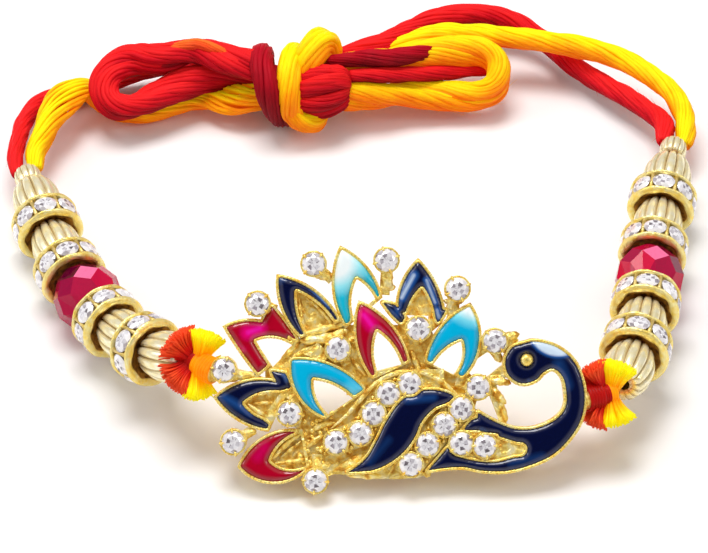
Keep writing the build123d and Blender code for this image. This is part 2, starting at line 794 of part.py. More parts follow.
for side in SIDES:
    joints, steps = walks[side.name], side.string
    turning = [
        joint
        for joint, coming, going in zip(joints[1:], steps, steps[1:])
        if (coming.yaw, coming.climb) != (going.yaw, going.climb)
    ]
    thread_end = joints[-1] - heading(steps[-1]) * (2 * bead_clearance)
    tube([joints[0], *turning, thread_end], core_thread, f"{side.name}_thread")


def port(place, end):
    """Where a cord meets the knot's left (-1) or right (1) end face."""
    return knot_middle + Vector(end * knot_length / 2, *place)


for side, end in zip(SIDES, (-1, 1)):
    along = heading(side.string[-1])
    sideways = Vector(0, 0, 1).cross(along).normalized() * (cord_spacing / 2)
    face = walks[side.name][-1] - along * bead_clearance
    for colour, way in (("red", 1), ("yellow", -1)):
        name = f"{side.name}_{colour}"
        start, finish = face + sideways * way, port(KNOT_PORTS[name], end)
        route = [start, start + along * bead_run, *(Vector(*point) for point in CORD_MIDDLES[name])]
        tube([*route, finish + Vector(end * port_run, 0, 0), finish], cord_diameter, f"{name}_cord")
    name = f"{side.name}_loop"
    first, last = (port(place, end) for place in KNOT_PORTS[name])
    outward = Vector(end * port_run, 0, 0)
    route = [first, first + outward, *(Vector(*point) for point in LOOP_MIDDLES[name])]
    tube([*route, last + outward, last], loop_diameter, name)

# The bow's knot

with BuildPart() as knot_core:
    with Locations(facing(knot_middle, Vector(1, 0, 0))):
        Cylinder(knot_core_diameter / 2, knot_length)
save(knot_core.part, "knot_core")

wrap_start = -knot_length / 2 - wrap_overhang
for name, width, wall in (
    ("knot_red_wrap", red_wrap_width, red_wrap_wall),
    ("knot_yellow_wrap", yellow_wrap_width, yellow_wrap_wall),
    ("knot_back_wrap", back_wrap_width, back_wrap_wall),
):
    middle = knot_middle + Vector(wrap_start + width / 2, 0, 0)
    inner = knot_core_diameter / 2 + wrap_clearance
    with BuildPart() as wrap:
        with Locations(facing(middle, Vector(1, 0, 0))):
            Cylinder(inner + wall, width)
        fillet(wrap.edges().filter_by(GeomType.CIRCLE), wrap_rounding)
        with Locations(facing(middle, Vector(1, 0, 0))):
            Cylinder(inner, width, mode=Mode.SUBTRACT)
    save(wrap.part, name)
    wrap_start += width + wrap_apart
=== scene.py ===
# %% [markdown]
# # A rakhi thread bracelet
# A rakhi is a festive bracelet of thread. This one has a cast peacock with coloured enamel and cut
# stones in front, a string of beads at each side, and red and yellow yarn that is tied in a bow at the
# back. The solid parts come in as a fixed frame, and this lesson dresses them, piece by piece.

import math

import bpy
import numpy as np
from mathutils import Matrix, Vector
from mathutils.bvhtree import BVHTree
from mathutils.geometry import delaunay_2d_cdt


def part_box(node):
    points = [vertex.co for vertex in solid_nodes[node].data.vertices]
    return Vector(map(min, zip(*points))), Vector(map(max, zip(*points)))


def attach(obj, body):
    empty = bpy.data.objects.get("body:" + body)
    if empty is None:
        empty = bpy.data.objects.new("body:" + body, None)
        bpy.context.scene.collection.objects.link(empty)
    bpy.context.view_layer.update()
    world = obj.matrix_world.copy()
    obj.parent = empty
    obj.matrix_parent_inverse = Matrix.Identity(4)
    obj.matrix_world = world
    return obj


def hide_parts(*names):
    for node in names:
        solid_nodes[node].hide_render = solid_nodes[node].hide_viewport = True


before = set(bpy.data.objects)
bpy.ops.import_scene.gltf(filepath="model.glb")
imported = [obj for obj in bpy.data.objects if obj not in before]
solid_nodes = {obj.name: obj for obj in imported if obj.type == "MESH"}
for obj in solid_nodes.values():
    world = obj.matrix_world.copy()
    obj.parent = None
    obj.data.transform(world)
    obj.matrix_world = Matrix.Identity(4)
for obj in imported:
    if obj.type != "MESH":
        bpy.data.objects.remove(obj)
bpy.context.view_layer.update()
MM = 0.001

# %% [markdown]
# ## The camera
# The bracelet was photographed from the front and above with a long lens, so near and far beads are
# almost the same size. A camera can be placed by hand or computed from a distance and a height angle.
# It is computed here, because the angle of 45 degrees is then one readable number.

# %% Camera
looking_at = Vector((0, 4.35, 4.0)) * MM
camera_distance = 380 * MM
camera_climb = math.radians(45)

camera = bpy.data.objects.new("camera", bpy.data.cameras.new("camera"))
camera.data.sensor_width = 36
camera.data.lens = 170.34
camera.data.clip_start, camera.data.clip_end = 0.01, 10
away = Vector((0, -math.cos(camera_climb), math.sin(camera_climb)))
camera.location = looking_at + away * camera_distance
camera.rotation_euler = (math.pi / 2 - camera_climb, 0, 0)
bpy.context.scene.collection.objects.link(camera)
bpy.context.scene.camera = camera
print("camera at mm:", [round(v / MM, 1) for v in camera.location])

# %% [markdown]
# ## Helpers for finishes
# Every finish is a small net of shader nodes. Typing each node takes three lines, so one helper adds a
# node with its settings and links at once. The others make what almost every finish needs: fine grain,
# a colour scale, a roughness that varies, and a bump.

# %% Node helpers
def new_finish(name):
    finish = bpy.data.materials.new(name)
    finish.use_nodes = True
    return finish, finish.node_tree, finish.node_tree.nodes["Principled BSDF"]


def add_node(tree, kind, inputs=None, **settings):
    made = tree.nodes.new("ShaderNode" + kind)
    for key, value in settings.items():
        setattr(made, key, value)
    for key, value in (inputs or {}).items():
        if isinstance(value, bpy.types.NodeSocket):
            tree.links.new(value, made.inputs[key])
        else:
            made.inputs[key].default_value = value
    return made


def place(tree):
    return add_node(tree, "TexCoord").outputs["Object"]


def grain(tree, size, detail=2.0):
    """Noise whose lumps are about size millimetres."""
    noise = add_node(tree, "TexNoise", {"Vector": place(tree), "Scale": 1 / (size * MM), "Detail": detail})
    return noise.outputs["Fac"]


def note(tree, name):
    """Reads a note that the mesh carries for each point or face."""
    return add_node(tree, "Attribute", attribute_name=name).outputs["Fac"]


def added(tree, first, second):
    return add_node(tree, "Math", {0: first, 1: second}, operation="ADD").outputs[0]


def blended(tree, amount, first, second):
    """The first colour where amount is 0 and the second where it is 1."""
    inputs = {"Factor": amount, "A": first, "B": second}
    return add_node(tree, "Mix", inputs, data_type="RGBA").outputs["Result"]


def reach_towards(tree, vector, way):
    """How far a vector reaches along a fixed direction."""
    return add_node(tree, "VectorMath", {0: vector, 1: tuple(way)}, operation="DOT_PRODUCT").outputs["Value"]


def scale_of(tree, amount, *stops):
    """A colour scale. Each stop is a place from 0 to 1 and a colour."""
    ramp = add_node(tree, "ValToRGB", {"Fac": amount})
    marks = ramp.color_ramp.elements
    while len(marks) < len(stops):
        marks.new(0.5)
    for mark, (position, colour) in zip(marks, stops):
        mark.position = position
        mark.color = (*colour, 1)
    return ramp.outputs["Color"]


def spread(tree, amount, low, high):
    """Turns 0 to 1 into low to high."""
    return add_node(tree, "MapRange", {"Value": amount, "To Min": low, "To Max": high}).outputs["Result"]


def raise_grain(tree, shader, height, depth, strength=1.0, normal=None):
    """A bump of depth millimetres."""
    bump = add_node(tree, "Bump", {"Height": height, "Distance": depth * MM, "Strength": strength})
    if normal:
        tree.links.new(normal, bump.inputs["Normal"])
    tree.links.new(bump.outputs["Normal"], shader.inputs["Normal"])


def set_shader(tree, shader, **values):
    for key, value in values.items():
        socket = shader.inputs[key.replace("_", " ")]
        if isinstance(value, bpy.types.NodeSocket):
            tree.links.new(value, socket)
        else:
            socket.default_value = value


print("helpers for finishes are ready")

# %% [markdown]
# ## Floor and light
# The bracelet lies on a white studio table. Large soft lights stand above and a little behind it, so
# the shadows are short and fall to the front. Metal and enamel show what surrounds them. A photographer's
# tent is white all round, with a dark opening where the lens looks in, and that opening keeps the blue
# enamel deep and gives the gold its contrast. So the sky is pale, with one dark round patch in it.

# %% Floor and light
TABLE_HALF = 3.0
SKY_STRENGTH = 0.72


def add_table(name):
    mesh = bpy.data.meshes.new(name)
    mesh.from_pydata([(x, y, 0) for x, y in ((-1, -1), (1, -1), (1, 1), (-1, 1))], [], [(0, 1, 2, 3)])
    table = bpy.data.objects.new(name, mesh)
    table.scale = (TABLE_HALF, TABLE_HALF, 1)
    bpy.context.scene.collection.objects.link(table)
    return table


table_top = add_table("table_top")
finish, tree, shader = new_finish("white_table")
set_shader(
    tree, shader,
    Base_Color=scale_of(tree, grain(tree, 9), (0, (0.93, 0.925, 0.92)), (1, (0.96, 0.955, 0.95))),
    Roughness=spread(tree, grain(tree, 2), 0.5, 0.6),
    Specular_IOR_Level=0.25,
)
table_top.data.materials.append(finish)

world = bpy.data.worlds.new("studio")
bpy.context.scene.world = world
world.use_nodes = True
sky = world.node_tree
facing_lens = reach_towards(sky, add_node(sky, "TexCoord").outputs["Generated"], away)
sky_light = scale_of(
    sky, facing_lens,
    (0.0, (0.44, 0.42, 0.44)), (0.45, (0.97, 0.93, 0.93)), (0.85, (1.0, 0.95, 0.92)),
    (0.93, (0.30, 0.30, 0.33)), (0.965, (0.05, 0.05, 0.06)),
)
sky.links.new(sky_light, sky.nodes["Background"].inputs["Color"])
sky.nodes["Background"].inputs["Strength"].default_value = SKY_STRENGTH


def soft_light(name, where, size, power):
    """A rectangle of light that looks at the middle of the bracelet. where and size are in metres."""
    light = bpy.data.objects.new(name, bpy.data.lights.new(name, "AREA"))
    light.data.shape = "RECTANGLE"
    light.data.size, light.data.size_y = size
    light.data.energy = power
    light.location = where
    light.rotation_euler = (-Vector(where)).to_track_quat("-Z", "Y").to_euler()
    bpy.context.scene.collection.objects.link(light)


soft_light("overhead_light", (-0.05, 0.13, 0.50), (0.30, 0.20), 1.75)
soft_light("left_light", (-0.42, 0.02, 0.30), (0.12, 0.30), 0.45)
soft_light("right_light", (0.40, -0.10, 0.34), (0.10, 0.20), 0.25)
bpy.context.scene.view_settings.view_transform = "Standard"

# %% [markdown]
# ## Making pieces from numbers
# Yarn, floss, rims and beads are all made of many small surfaces. They could be curves with a bevel, but
# a mesh lets each thread carry its own notes, such as how far it faces out, for the colours to read. So
# one helper turns points and faces into a named piece that has its finish and rides with the frame.
# Small irregular things are drawn from random numbers, and each kind of piece starts its own series, so
# that a change to one kind leaves the others as they were.

# %% Piece maker
SEEDS = {
    "cords": 20, "inner yarns": 31, "rondelles": 60, "belt stones": 90, "peacock stones": 40,
    "claws and grains": 7, "fleck": 3, "floss": 130, "knot": 170,
}


def seeded(kind, number=0):
    """The random series of one piece of a kind."""
    return np.random.default_rng(SEEDS[kind] + number)


def make_piece(name, points, faces, finish, replaces=(), notes=None, lay=None, smooth=True):
    """A mesh in metres that rides with the frame.

    notes are values for each point, or for each face of a flat cut piece. lay is a pair for each point.
    """
    mesh = bpy.data.meshes.new(name)
    mesh.from_pydata([tuple(p) for p in points], [], [tuple(f) for f in faces])
    mesh.polygons.foreach_set("use_smooth", [smooth] * len(mesh.polygons))
    for key, values in (notes or {}).items():
        kind = "FACE" if not smooth and len(values) == len(mesh.polygons) else "POINT"
        mesh.attributes.new(key, "FLOAT", kind).data.foreach_set("value", np.asarray(values, np.float32))
    if lay is not None:
        corners = np.zeros(len(mesh.loops), np.int32)
        mesh.loops.foreach_get("vertex_index", corners)
        mesh.uv_layers.new(name="lay").data.foreach_set("uv", np.asarray(lay, np.float32)[corners].ravel())
    mesh.materials.append(finish)
    piece = bpy.data.objects.new(name, mesh)
    bpy.context.scene.collection.objects.link(piece)
    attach(piece, "root")
    if replaces:
        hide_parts(*replaces)
    print(name, "faces:", len(mesh.polygons))
    return piece


def shifted(faces, by):
    """Faces for points that come after others in one mesh."""
    return [tuple(corner + by for corner in face) for face in faces]


def joined(*pieces):
    points, faces = [], []
    for new_points, new_faces in pieces:
        faces += shifted(new_faces, len(points))
        points += list(new_points)
    return points, faces


print("the piece maker is ready")

# %% [markdown]
# ## Lines and tubes
# A strand, a hair and a rim wire are all a tube round a line. Blender can bevel a curve, but then the
# tubes of one yarn are separate objects without notes of their own. Here a tube is a ring of points at
# each step of its line. Two directions square to the line carry the ring along, and they are turned as
# little as possible, because a ring that jumps would twist the tube.

# %% Lines and tubes
def round_angles(count):
    return np.arange(count) * (2 * math.pi / count)


def reach_along(line):
    """How far each point of a line is from its start, along the line."""
    return np.concatenate([[0], np.cumsum(np.linalg.norm(np.diff(line, axis=0), axis=1))])


def even_line(points, step):
    """The same line with points at even distances."""
    points = np.asarray(points, float)
    gaps = np.linalg.norm(np.diff(points, axis=0), axis=1)
    points = points[np.concatenate([[True], gaps > 1e-9])]
    reach = reach_along(points)
    spots = np.linspace(0, reach[-1], max(4, int(round(reach[-1] / step)) + 1))
    return np.column_stack([np.interp(spots, reach, points[:, k]) for k in range(3)])


def length_of(line):
    return np.linalg.norm(np.diff(line, axis=0), axis=1).sum()


def side_directions(line):
    """Two directions square to a line at each of its points, carried along it without a twist."""
    along = np.gradient(line, axis=0)
    along /= np.linalg.norm(along, axis=1)[:, None]
    side = np.cross(along[0], (0, 0, 1))
    if np.linalg.norm(side) < 0.2:
        side = np.cross(along[0], (0, 1, 0))
    sides = []
    for direction in along:
        side = side - direction * (side @ direction)
        side /= np.linalg.norm(side)
        sides.append(side)
    sides = np.array(sides)
    return sides, np.cross(along, sides)


def wrap_tubes(lines, radii, corners, closed=False):
    """Tubes round lines, with so many corners in each ring. A closed tube bites its own tail.

    Gives points and faces, the lay (a share of the way round, and millimetres along), and for each point
    the number of its line and the direction in which it faces out.
    """
    points, faces, lay, owner, outward = [], [], [], [], []
    turns = round_angles(corners)
    start = 0
    for number, (line, radius) in enumerate(zip(lines, radii)):
        first, second = side_directions(line)
        ring = first[:, None] * np.cos(turns)[None, :, None] + second[:, None] * np.sin(turns)[None, :, None]
        radius = np.broadcast_to(radius, (len(line),))
        points.append((line[:, None] + ring * radius[:, None, None]).reshape(-1, 3))
        outward.append(ring.reshape(-1, 3))
        reach = reach_along(line) / MM
        round_share = np.tile(np.arange(corners) / corners, len(line))
        lay.append(np.column_stack([round_share, np.repeat(reach, corners)]))
        owner.append(np.full(len(line) * corners, number))
        rows = np.arange(len(line) if closed else len(line) - 1)[:, None] * corners
        after = (rows + corners) % (len(line) * corners)
        here, there = np.arange(corners)[None, :], (np.arange(corners)[None, :] + 1) % corners
        quads = np.stack([rows + here, rows + there, after + there, after + here], -1).reshape(-1, 4) + start
        faces += quads.tolist()
        if not closed:
            last = start + (len(line) - 1) * corners
            faces.append([start + k for k in reversed(range(corners))])
            faces.append([last + k for k in range(corners)])
        start += len(line) * corners
    return np.vstack(points), faces, np.vstack(lay), np.concatenate(owner), np.vstack(outward)


print("helpers for lines and tubes are ready")

# %% [markdown]
# ## Yarn and floss finishes
# The yarn is a soft, shiny thread. Its colour is painted brighter where a strand faces out and deeper in
# the grooves between the strands, as painted shade where light is caught between the fibres. The colour
# therefore reads the note "outer" of the mesh, and each strand has its own "tone". Fine fibres run along
# the strand, so the bump is noise that is stretched along the lay of the tube. Light also passes through
# thin fibres, which would take many bounces, and a faint painted glow of the yarn's own colour stands in
# for it.
# The underside of soft yarn sits in its own coloured shade, so the colour also reads "lit", which says
# how far a place faces up and back, where the light comes from.

# %% Yarn finishes
def fibre_noise(tree, across, along):
    """Noise with narrow streaks along the strand."""
    lay = add_node(tree, "UVMap", uv_map="lay").outputs["UV"]
    stretched = add_node(tree, "Mapping", {"Vector": lay, "Scale": (across, along, 1)}).outputs["Vector"]
    return add_node(tree, "TexNoise", {"Vector": stretched, "Scale": 1.0, "Detail": 3.0}).outputs["Fac"]


def yarn_finish(name, groove, body, crest, roughness=0.6, glow=0.05):
    finish, tree, shader = new_finish(name)
    streak = fibre_noise(tree, 9, 0.6)
    shown = spread(tree, note(tree, "outer"), 0.05, 0.36)
    # What moves the shade of the yarn, and by how much at its lowest and at its highest
    movers = (
        (note(tree, "lit"), -0.08, 0.72), (streak, -0.14, 0.14), (grain(tree, 3.0), -0.2, 0.2),
        (note(tree, "tone"), -0.06, 0.06),
    )
    for mover, low, high in movers:
        shown = added(tree, shown, spread(tree, mover, low, high))
    colour = scale_of(tree, shown, (0.2, groove), (0.6, body), (1.0, crest))
    set_shader(
        tree, shader,
        Base_Color=colour, Emission_Color=colour, Emission_Strength=glow,
        Roughness=spread(tree, streak, roughness - 0.12, roughness + 0.15),
        Sheen_Weight=0.06, Sheen_Roughness=0.4, Sheen_Tint=(*crest, 1), Specular_IOR_Level=0.14,
    )
    raise_grain(tree, shader, streak, 0.10, 0.9)
    return finish


# For each yarn the colour in its grooves, which is painted shade, on its body and on its crests
red_yarn = yarn_finish("red_yarn", (0.20, 0.0, 0.004), (0.58, 0.0, 0.010), (0.86, 0.012, 0.014))
# A darker copy of the red yarn: painted shade for red yarn that lies in shadow in the knot and the right loop
shaded_red_yarn = yarn_finish(
    "shaded_red_yarn", (0.11, 0.0, 0.004), (0.30, 0.0, 0.008), (0.48, 0.0, 0.012), glow=0.0,
)
yellow_yarn = yarn_finish("yellow_yarn", (0.85, 0.12, 0.0), (1.0, 0.34, 0.0), (1.0, 0.80, 0.0), glow=0.10)
# A more orange copy of the yellow yarn: painted shade for the right loop
amber_yarn = yarn_finish("amber_yarn", (0.82, 0.10, 0.0), (1.0, 0.27, 0.0), (1.0, 0.70, 0.0), glow=0.10)
orange_yarn = yarn_finish(
    "orange_yarn", (0.55, 0.01, 0.004), (0.86, 0.05, 0.01), (1.0, 0.17, 0.02), glow=0.06,
)
red_satin = yarn_finish("red_satin", (0.30, 0.0, 0.0), (0.74, 0.010, 0.006), (1.0, 0.09, 0.02), 0.42)
yellow_satin = yarn_finish(
    "yellow_satin", (0.95, 0.17, 0.0), (1.0, 0.50, 0.0), (1.0, 0.88, 0.004), 0.42, glow=0.3,
)
print("yarn finishes:", [m.name for m in bpy.data.materials if "yarn" in m.name or "satin" in m.name])

# %% [markdown]
# ## The routes of the cords
# Each cord runs from a bead string's end to the bow's knot, and each loop leaves the knot and comes back.
# Yarn has a smooth line, so a route is a NURBS curve with a few given points, and its mesh gives
# the points that the strands then follow. The curve must be third order, or it would be straight runs.

# %% Cord routes
CORD_ROUTES = {
    "left_red_cord": [
        (-39.3, 21, 4.1), (-39.9, 23.3, 4.2), (-39.7, 28.3, 3.6), (-39.3, 33, 2.4), (-38, 36.4, 1.6),
        (-35.3, 37.8, 1.3), (-32.3, 38.9, 1.3), (-28.6, 40.2, 2.2), (-24.8, 41.3, 2.9), (-19.9, 41.8, 3.4),
        (-15.3, 40.6, 3.8), (-11.1, 39.1, 4.2),
    ],
    "left_yellow_cord": [
        (-37.2, 21.8, 4.1), (-37.7, 24, 4.2), (-36.9, 27, 4.2), (-36.2, 29.5, 4.6), (-35.2, 32.3, 4.8),
        (-33.6, 35.4, 4.4), (-32.1, 37.5, 3), (-30.5, 36.6, 1.7), (-28.1, 34.8, 1.4), (-25, 34.6, 1.4),
        (-21.7, 35.8, 1.6), (-18.4, 37.1, 1.9), (-14.4, 35.6, 2.8), (-10.3, 35.4, 3.6),
    ],
    "right_red_cord": [
        (36.6, 26.5, 4.1), (37.1, 28.8, 4.1), (36.5, 31.7, 3.4), (33.9, 34.8, 3), (30.5, 38.2, 2.7),
        (27, 42, 2.4), (23.5, 46.2, 2.6), (19.6, 48.7, 4.2), (14.9, 48.7, 5.5), (10.3, 47.3, 5.7),
        (6.8, 44.6, 5.9), (3.7, 42, 6.3), (1, 40.6, 6.4), (-1.9, 39.6, 6), (-3.8, 38.2, 5.6),
    ],
    "right_yellow_cord": [
        (39, 26, 4.1), (39.5, 28.4, 4.1), (39, 33.2, 4.6), (36.1, 36.9, 5.3), (32, 40, 5.8),
        (27.1, 41.8, 6), (22, 42.9, 6), (17.9, 43.1, 6.3), (13.8, 43.2, 6.8), (10.2, 42.8, 7),
        (7.2, 42, 6.6), (4.8, 41.1, 5.6), (2.2, 40, 4.8), (-1.2, 39.6, 4.5),
    ],
    "left_loop": [
        (-11.6, 36, 7.9), (-15.2, 37, 7.9), (-19, 39.2, 7.9), (-23.2, 37.2, 7.6), (-26.9, 38.4, 7),
        (-29.8, 36.3, 6.2), (-30, 33.5, 5), (-27.9, 32.1, 4.3), (-24.9, 33.5, 4.2), (-22.2, 35.4, 4.6),
        (-19, 36.7, 5), (-15.4, 38.3, 4.7), (-11.7, 38.5, 4.7),
    ],
    "right_loop": [
        (-1.2, 37.2, 6.2), (2.4, 38.4, 6.2), (6.5, 39.3, 6.4), (10.8, 40.2, 6.6), (15.3, 40.3, 6.6),
        (17.5, 39.1, 5.8), (17.4, 36.5, 4.2), (14.9, 35.6, 3.1), (10.8, 36.1, 3), (6.5, 36, 3.4),
        (2.4, 34.7, 4.2), (-1.2, 34.3, 4.6),
    ],
}
# Thinner yarns that lie in and on the loops
INNER_ROUTES = {
    "right_loop_inner_yarn": [
        (-3.3, 36.6, 8), (0.2, 36.8, 8.3), (4.8, 37.1, 8.2), (8.1, 38.5, 7.6), (10.2, 41, 6.1),
        (11.6, 42.8, 4.6),
    ],
    "right_loop_inner_strand": [
        (16.3, 39.4, 4.2), (14.2, 39.3, 4.3), (11.8, 38.6, 4.6), (9.1, 37.3, 5.4), (6.1, 36.4, 6.1),
        (3.1, 35.7, 6.7), (-0.5, 35.3, 6.9),
    ],
    "left_loop_top_strand": [
        (-24.4, 37.6, 7.9), (-21.8, 37.9, 8.7), (-19.8, 38.1, 9.2), (-18.2, 38.2, 9.3), (-16.4, 37.5, 9.1),
        (-14.1, 37.2, 8.2),
    ],
}


def smooth_route(points, step=0.4):
    """Even points along the smooth curve that given points in millimetres control."""
    curve = bpy.data.curves.new("route", "CURVE")
    curve.dimensions = "3D"
    spline = curve.splines.new("NURBS")
    spline.points.add(len(points) - 1)
    for spot, point in zip(spline.points, points):
        spot.co = (*(Vector(point) * MM), 1)
    spline.order_u = 3
    spline.use_endpoint_u = True
    spline.resolution_u = 16
    holder = bpy.data.objects.new("route", curve)
    mesh = bpy.data.meshes.new_from_object(holder)
    line = even_line([v.co for v in mesh.vertices], step * MM)
    bpy.data.objects.remove(holder)
    bpy.data.curves.remove(curve)
    bpy.data.meshes.remove(mesh)
    return line


for name, points in CORD_ROUTES.items():
    print(name, "length in mm:", round(length_of(smooth_route(points)) / MM, 1))

# %% [markdown]
# ## Strands of yarn
# A soft cord is many strands that lie side by side with a slow twist. It could be one tube with a bump,
# but its edge would stay smooth, and yarn shows its strands at the edge. So each yarn is really built
# from strands: an inner ring and an outer one, wandering a little, with a few loose hairs that stand off.

# %% Strands and hairs
def around(line, radius, turn, phase):
    """A line that winds round another, radius metres out, one turn in turn millimetres."""
    first, second = side_directions(line)
    reach = reach_along(line) / MM
    angle = phase + reach * (2 * math.pi / turn)
    radius = np.broadcast_to(radius, (len(line),))[:, None]
    return line + radius * (first * np.cos(angle)[:, None] + second * np.sin(angle)[:, None])


# The rings of strands in a yarn: how many strands, and how far out as a share of the yarn's radius
STRAND_RINGS = ((7, 0.38), (15, 0.76))


def ripple(reach, shortest, longest, draw):
    """A wave along a strand, with a length between two in millimetres."""
    return np.sin(reach * (2 * math.pi / draw.uniform(shortest, longest)) + draw.uniform(0, 6.3))


def yarn_strands(line, radius, turn, draw, flare=1.0):
    """The strands of one yarn, with their radii. flare spreads it sideways."""
    reach = reach_along(line) / MM
    sideways = np.cross(np.gradient(line, axis=0), (0, 0, 1))
    sideways /= np.linalg.norm(sideways, axis=1)[:, None] + 1e-9
    lines, radii = [], []
    for count, share in STRAND_RINGS:
        for number in range(count):
            wave = sum(ripple(reach, 5, 14, draw) * 0.04 for _ in range(3))
            phase = 2 * math.pi * (number + draw.uniform(-0.22, 0.22)) / count
            swell = 1 + 0.10 * ripple(reach, 4, 9, draw)
            strand = around(line, radius * (share + wave), turn, phase)
            out = np.einsum("ij,ij->i", strand - line, sideways)[:, None] * sideways
            lines.append(strand + out * np.broadcast_to(flare - 1.0, (len(line),))[:, None])
            radii.append(radius * 0.25 * swell * draw.uniform(0.85, 1.12))
    return lines, radii


def loose_hairs(line, radius, count, draw):
    """Fine single fibres that stand off a yarn."""
    first, second = side_directions(line)
    radius = np.broadcast_to(radius, (len(line),))
    lines, radii = [], []
    for _ in range(count):
        spot = draw.integers(2, len(line) - 3)
        angle = draw.uniform(0, 6.3)
        out = first[spot] * math.cos(angle) + second[spot] * math.sin(angle)
        along = line[spot + 1] - line[spot]
        along = along / np.linalg.norm(along) * draw.choice([-1, 1])
        far, up = draw.uniform(0.8, 1.9) * MM, draw.uniform(0.15, 0.55) * MM
        share = np.linspace(0, 1, 6)[:, None]
        hair = line[spot] + out * (radius[spot] * 0.92 + up * share**1.6) + along * far * share
        lines.append(hair)
        radii.append(np.linspace(0.022, 0.008, 6) * MM)
    return lines, radii


print("strands in a yarn:", sum(count for count, _ in STRAND_RINGS))

# %% [markdown]
# ## A piece of yarn
# The strands and hairs of a yarn become one mesh. Its finish wants to know how far each point faces out
# of the yarn and how far it faces the light. Shader nodes can't know where the middle of a yarn is, so
# both are worked out here from the strand's own line and are kept as notes on the points.

# %% Yarn maker
TOWARD_LIGHT = np.array([-0.1, 0.45, 0.88])
STRAND_CORNERS, HAIR_CORNERS = 6, 3
HAIR_SHADE = 0.8


def yarn_piece(name, bundles, finish, replaces, hairs, draw):
    """One piece from bundles, each a line, a radius in metres, a turn in millimetres and a flare.

    hairs is how many stand off in each millimetre.
    """
    lines, radii, centres = [], [], []
    for line, radius, turn, flare in bundles:
        new_lines, new_radii = yarn_strands(line, radius, turn, draw, flare)
        lines += new_lines
        radii += new_radii
        centres += [line] * len(new_lines)
    points, faces, lay, owner, outward = wrap_tubes(lines, radii, STRAND_CORNERS)
    tones = draw.random(len(lines))
    hearts = np.vstack([np.repeat(centre, STRAND_CORNERS, axis=0) for centre in centres])
    radial = points - hearts
    radial /= np.linalg.norm(radial, axis=1)[:, None] + 1e-12
    outer = 0.5 + 0.5 * np.einsum("ij,ij->i", radial, outward)
    lit = 0.5 + 0.5 * radial @ TOWARD_LIGHT
    notes = {"outer": outer, "tone": tones[owner], "lit": lit}
    hair_lines, hair_radii = [], []
    for line, radius, *_ in bundles:
        new_lines, new_radii = loose_hairs(line, radius, int(hairs * length_of(line) / MM), draw)
        hair_lines += new_lines
        hair_radii += new_radii
    if hair_lines:
        more, more_faces, more_lay, _, _ = wrap_tubes(hair_lines, hair_radii, HAIR_CORNERS)
        faces += shifted(more_faces, len(points))
        points, lay = np.vstack([points, more]), np.vstack([lay, more_lay])
        of_hairs = np.full(len(more), HAIR_SHADE)
        notes = {key: np.concatenate([values, of_hairs]) for key, values in notes.items()}
    return make_piece(name, points, faces, finish, replaces, notes, lay)


def narrowed(line, radius, start, end, run=2.5):
    """A radius that is drawn in towards one or both ends of a line, over a run in millimetres."""
    reach = reach_along(line) / MM
    near = np.clip(reach / run, 0, 1) ** 0.6
    far = np.clip((reach[-1] - reach) / run, 0, 1) ** 0.6
    return radius * (start + (1 - start) * near) * (end + (1 - end) * far)


print("the yarn maker is ready")

# %% [markdown]
# ## Cords and loops
# A cord is one yarn, and it is pressed wide where it bends over another. The bow's loops are thicker: two
# yarns twisted round each other. One recipe could serve all of them, but the loops would then look thin.
# The thinner yarns in and on the loops are made first.

# %% Cords
# Where a cord is pressed wide: a share of its length, a reach and how much wider
PRESSED_WIDE = {
    "left_yellow_cord": [(0.32, 0.13, 1.1), (0.91, 0.09, 1.7)],
    "left_red_cord": [(0.1, 0.2, -0.3)],
    "right_yellow_cord": [(0.45, 0.2, 0.35)],
    "right_red_cord": [(0.75, 0.2, 0.3)],
}


def cord_bundle(name, line, radius=1.2, turn=34):
    share = np.linspace(0, 1, len(line))
    flare = 1 + sum(
        more * np.exp(-(((share - where) / reach) ** 2)) for where, reach, more in PRESSED_WIDE.get(name, [])
    )
    return (line, narrowed(line, radius * MM, 0.62, 1.0), turn, np.broadcast_to(flare, (len(line),)))


def loop_bundles(line, draw, full=1.85, turn=30):
    """Two yarns that lie close and turn slowly round each other."""
    phase = draw.uniform(0, 6.3)
    return [
        (around(line, full * 0.3 * MM, turn, phase + math.pi * k), full * 0.74 * MM, turn + k, 1.0)
        for k in (0, 1)
    ]


# For each thinner yarn its radius in mm, the share of it at the far end, the taper in mm and the finish
INNER_YARNS = {
    "right_loop_inner_yarn": (1.15, 0.15, 9, shaded_red_yarn),
    "right_loop_inner_strand": (0.95, 0.8, 4, red_yarn),
    "left_loop_top_strand": (0.9, 0.2, 5, orange_yarn),
}
for number, (name, (radius, end, run, finish)) in enumerate(INNER_YARNS.items()):
    draw = seeded("inner yarns", number)
    line = smooth_route(INNER_ROUTES[name])
    bundle = (line, narrowed(line, radius * MM, 0.6, end, run), 30, 1.0)
    yarn_piece(name, [bundle], finish, [], 0.8, draw)
for number, (name, points) in enumerate(CORD_ROUTES.items()):
    draw = seeded("cords", number)
    line = smooth_route(points)
    looped = name.endswith("loop")
    colour = "yellow" if "yellow" in name or name == "right_loop" else "red"
    # The right loop takes the more orange copy of the yellow yarn, as painted shade
    finish = {"red": red_yarn, "yellow": amber_yarn if looped else yellow_yarn}[colour]
    bundles = loop_bundles(line, draw) if looped else [cord_bundle(name, line)]
    piece = yarn_piece(name + "_yarn", bundles, finish, [name], 1.0, draw)
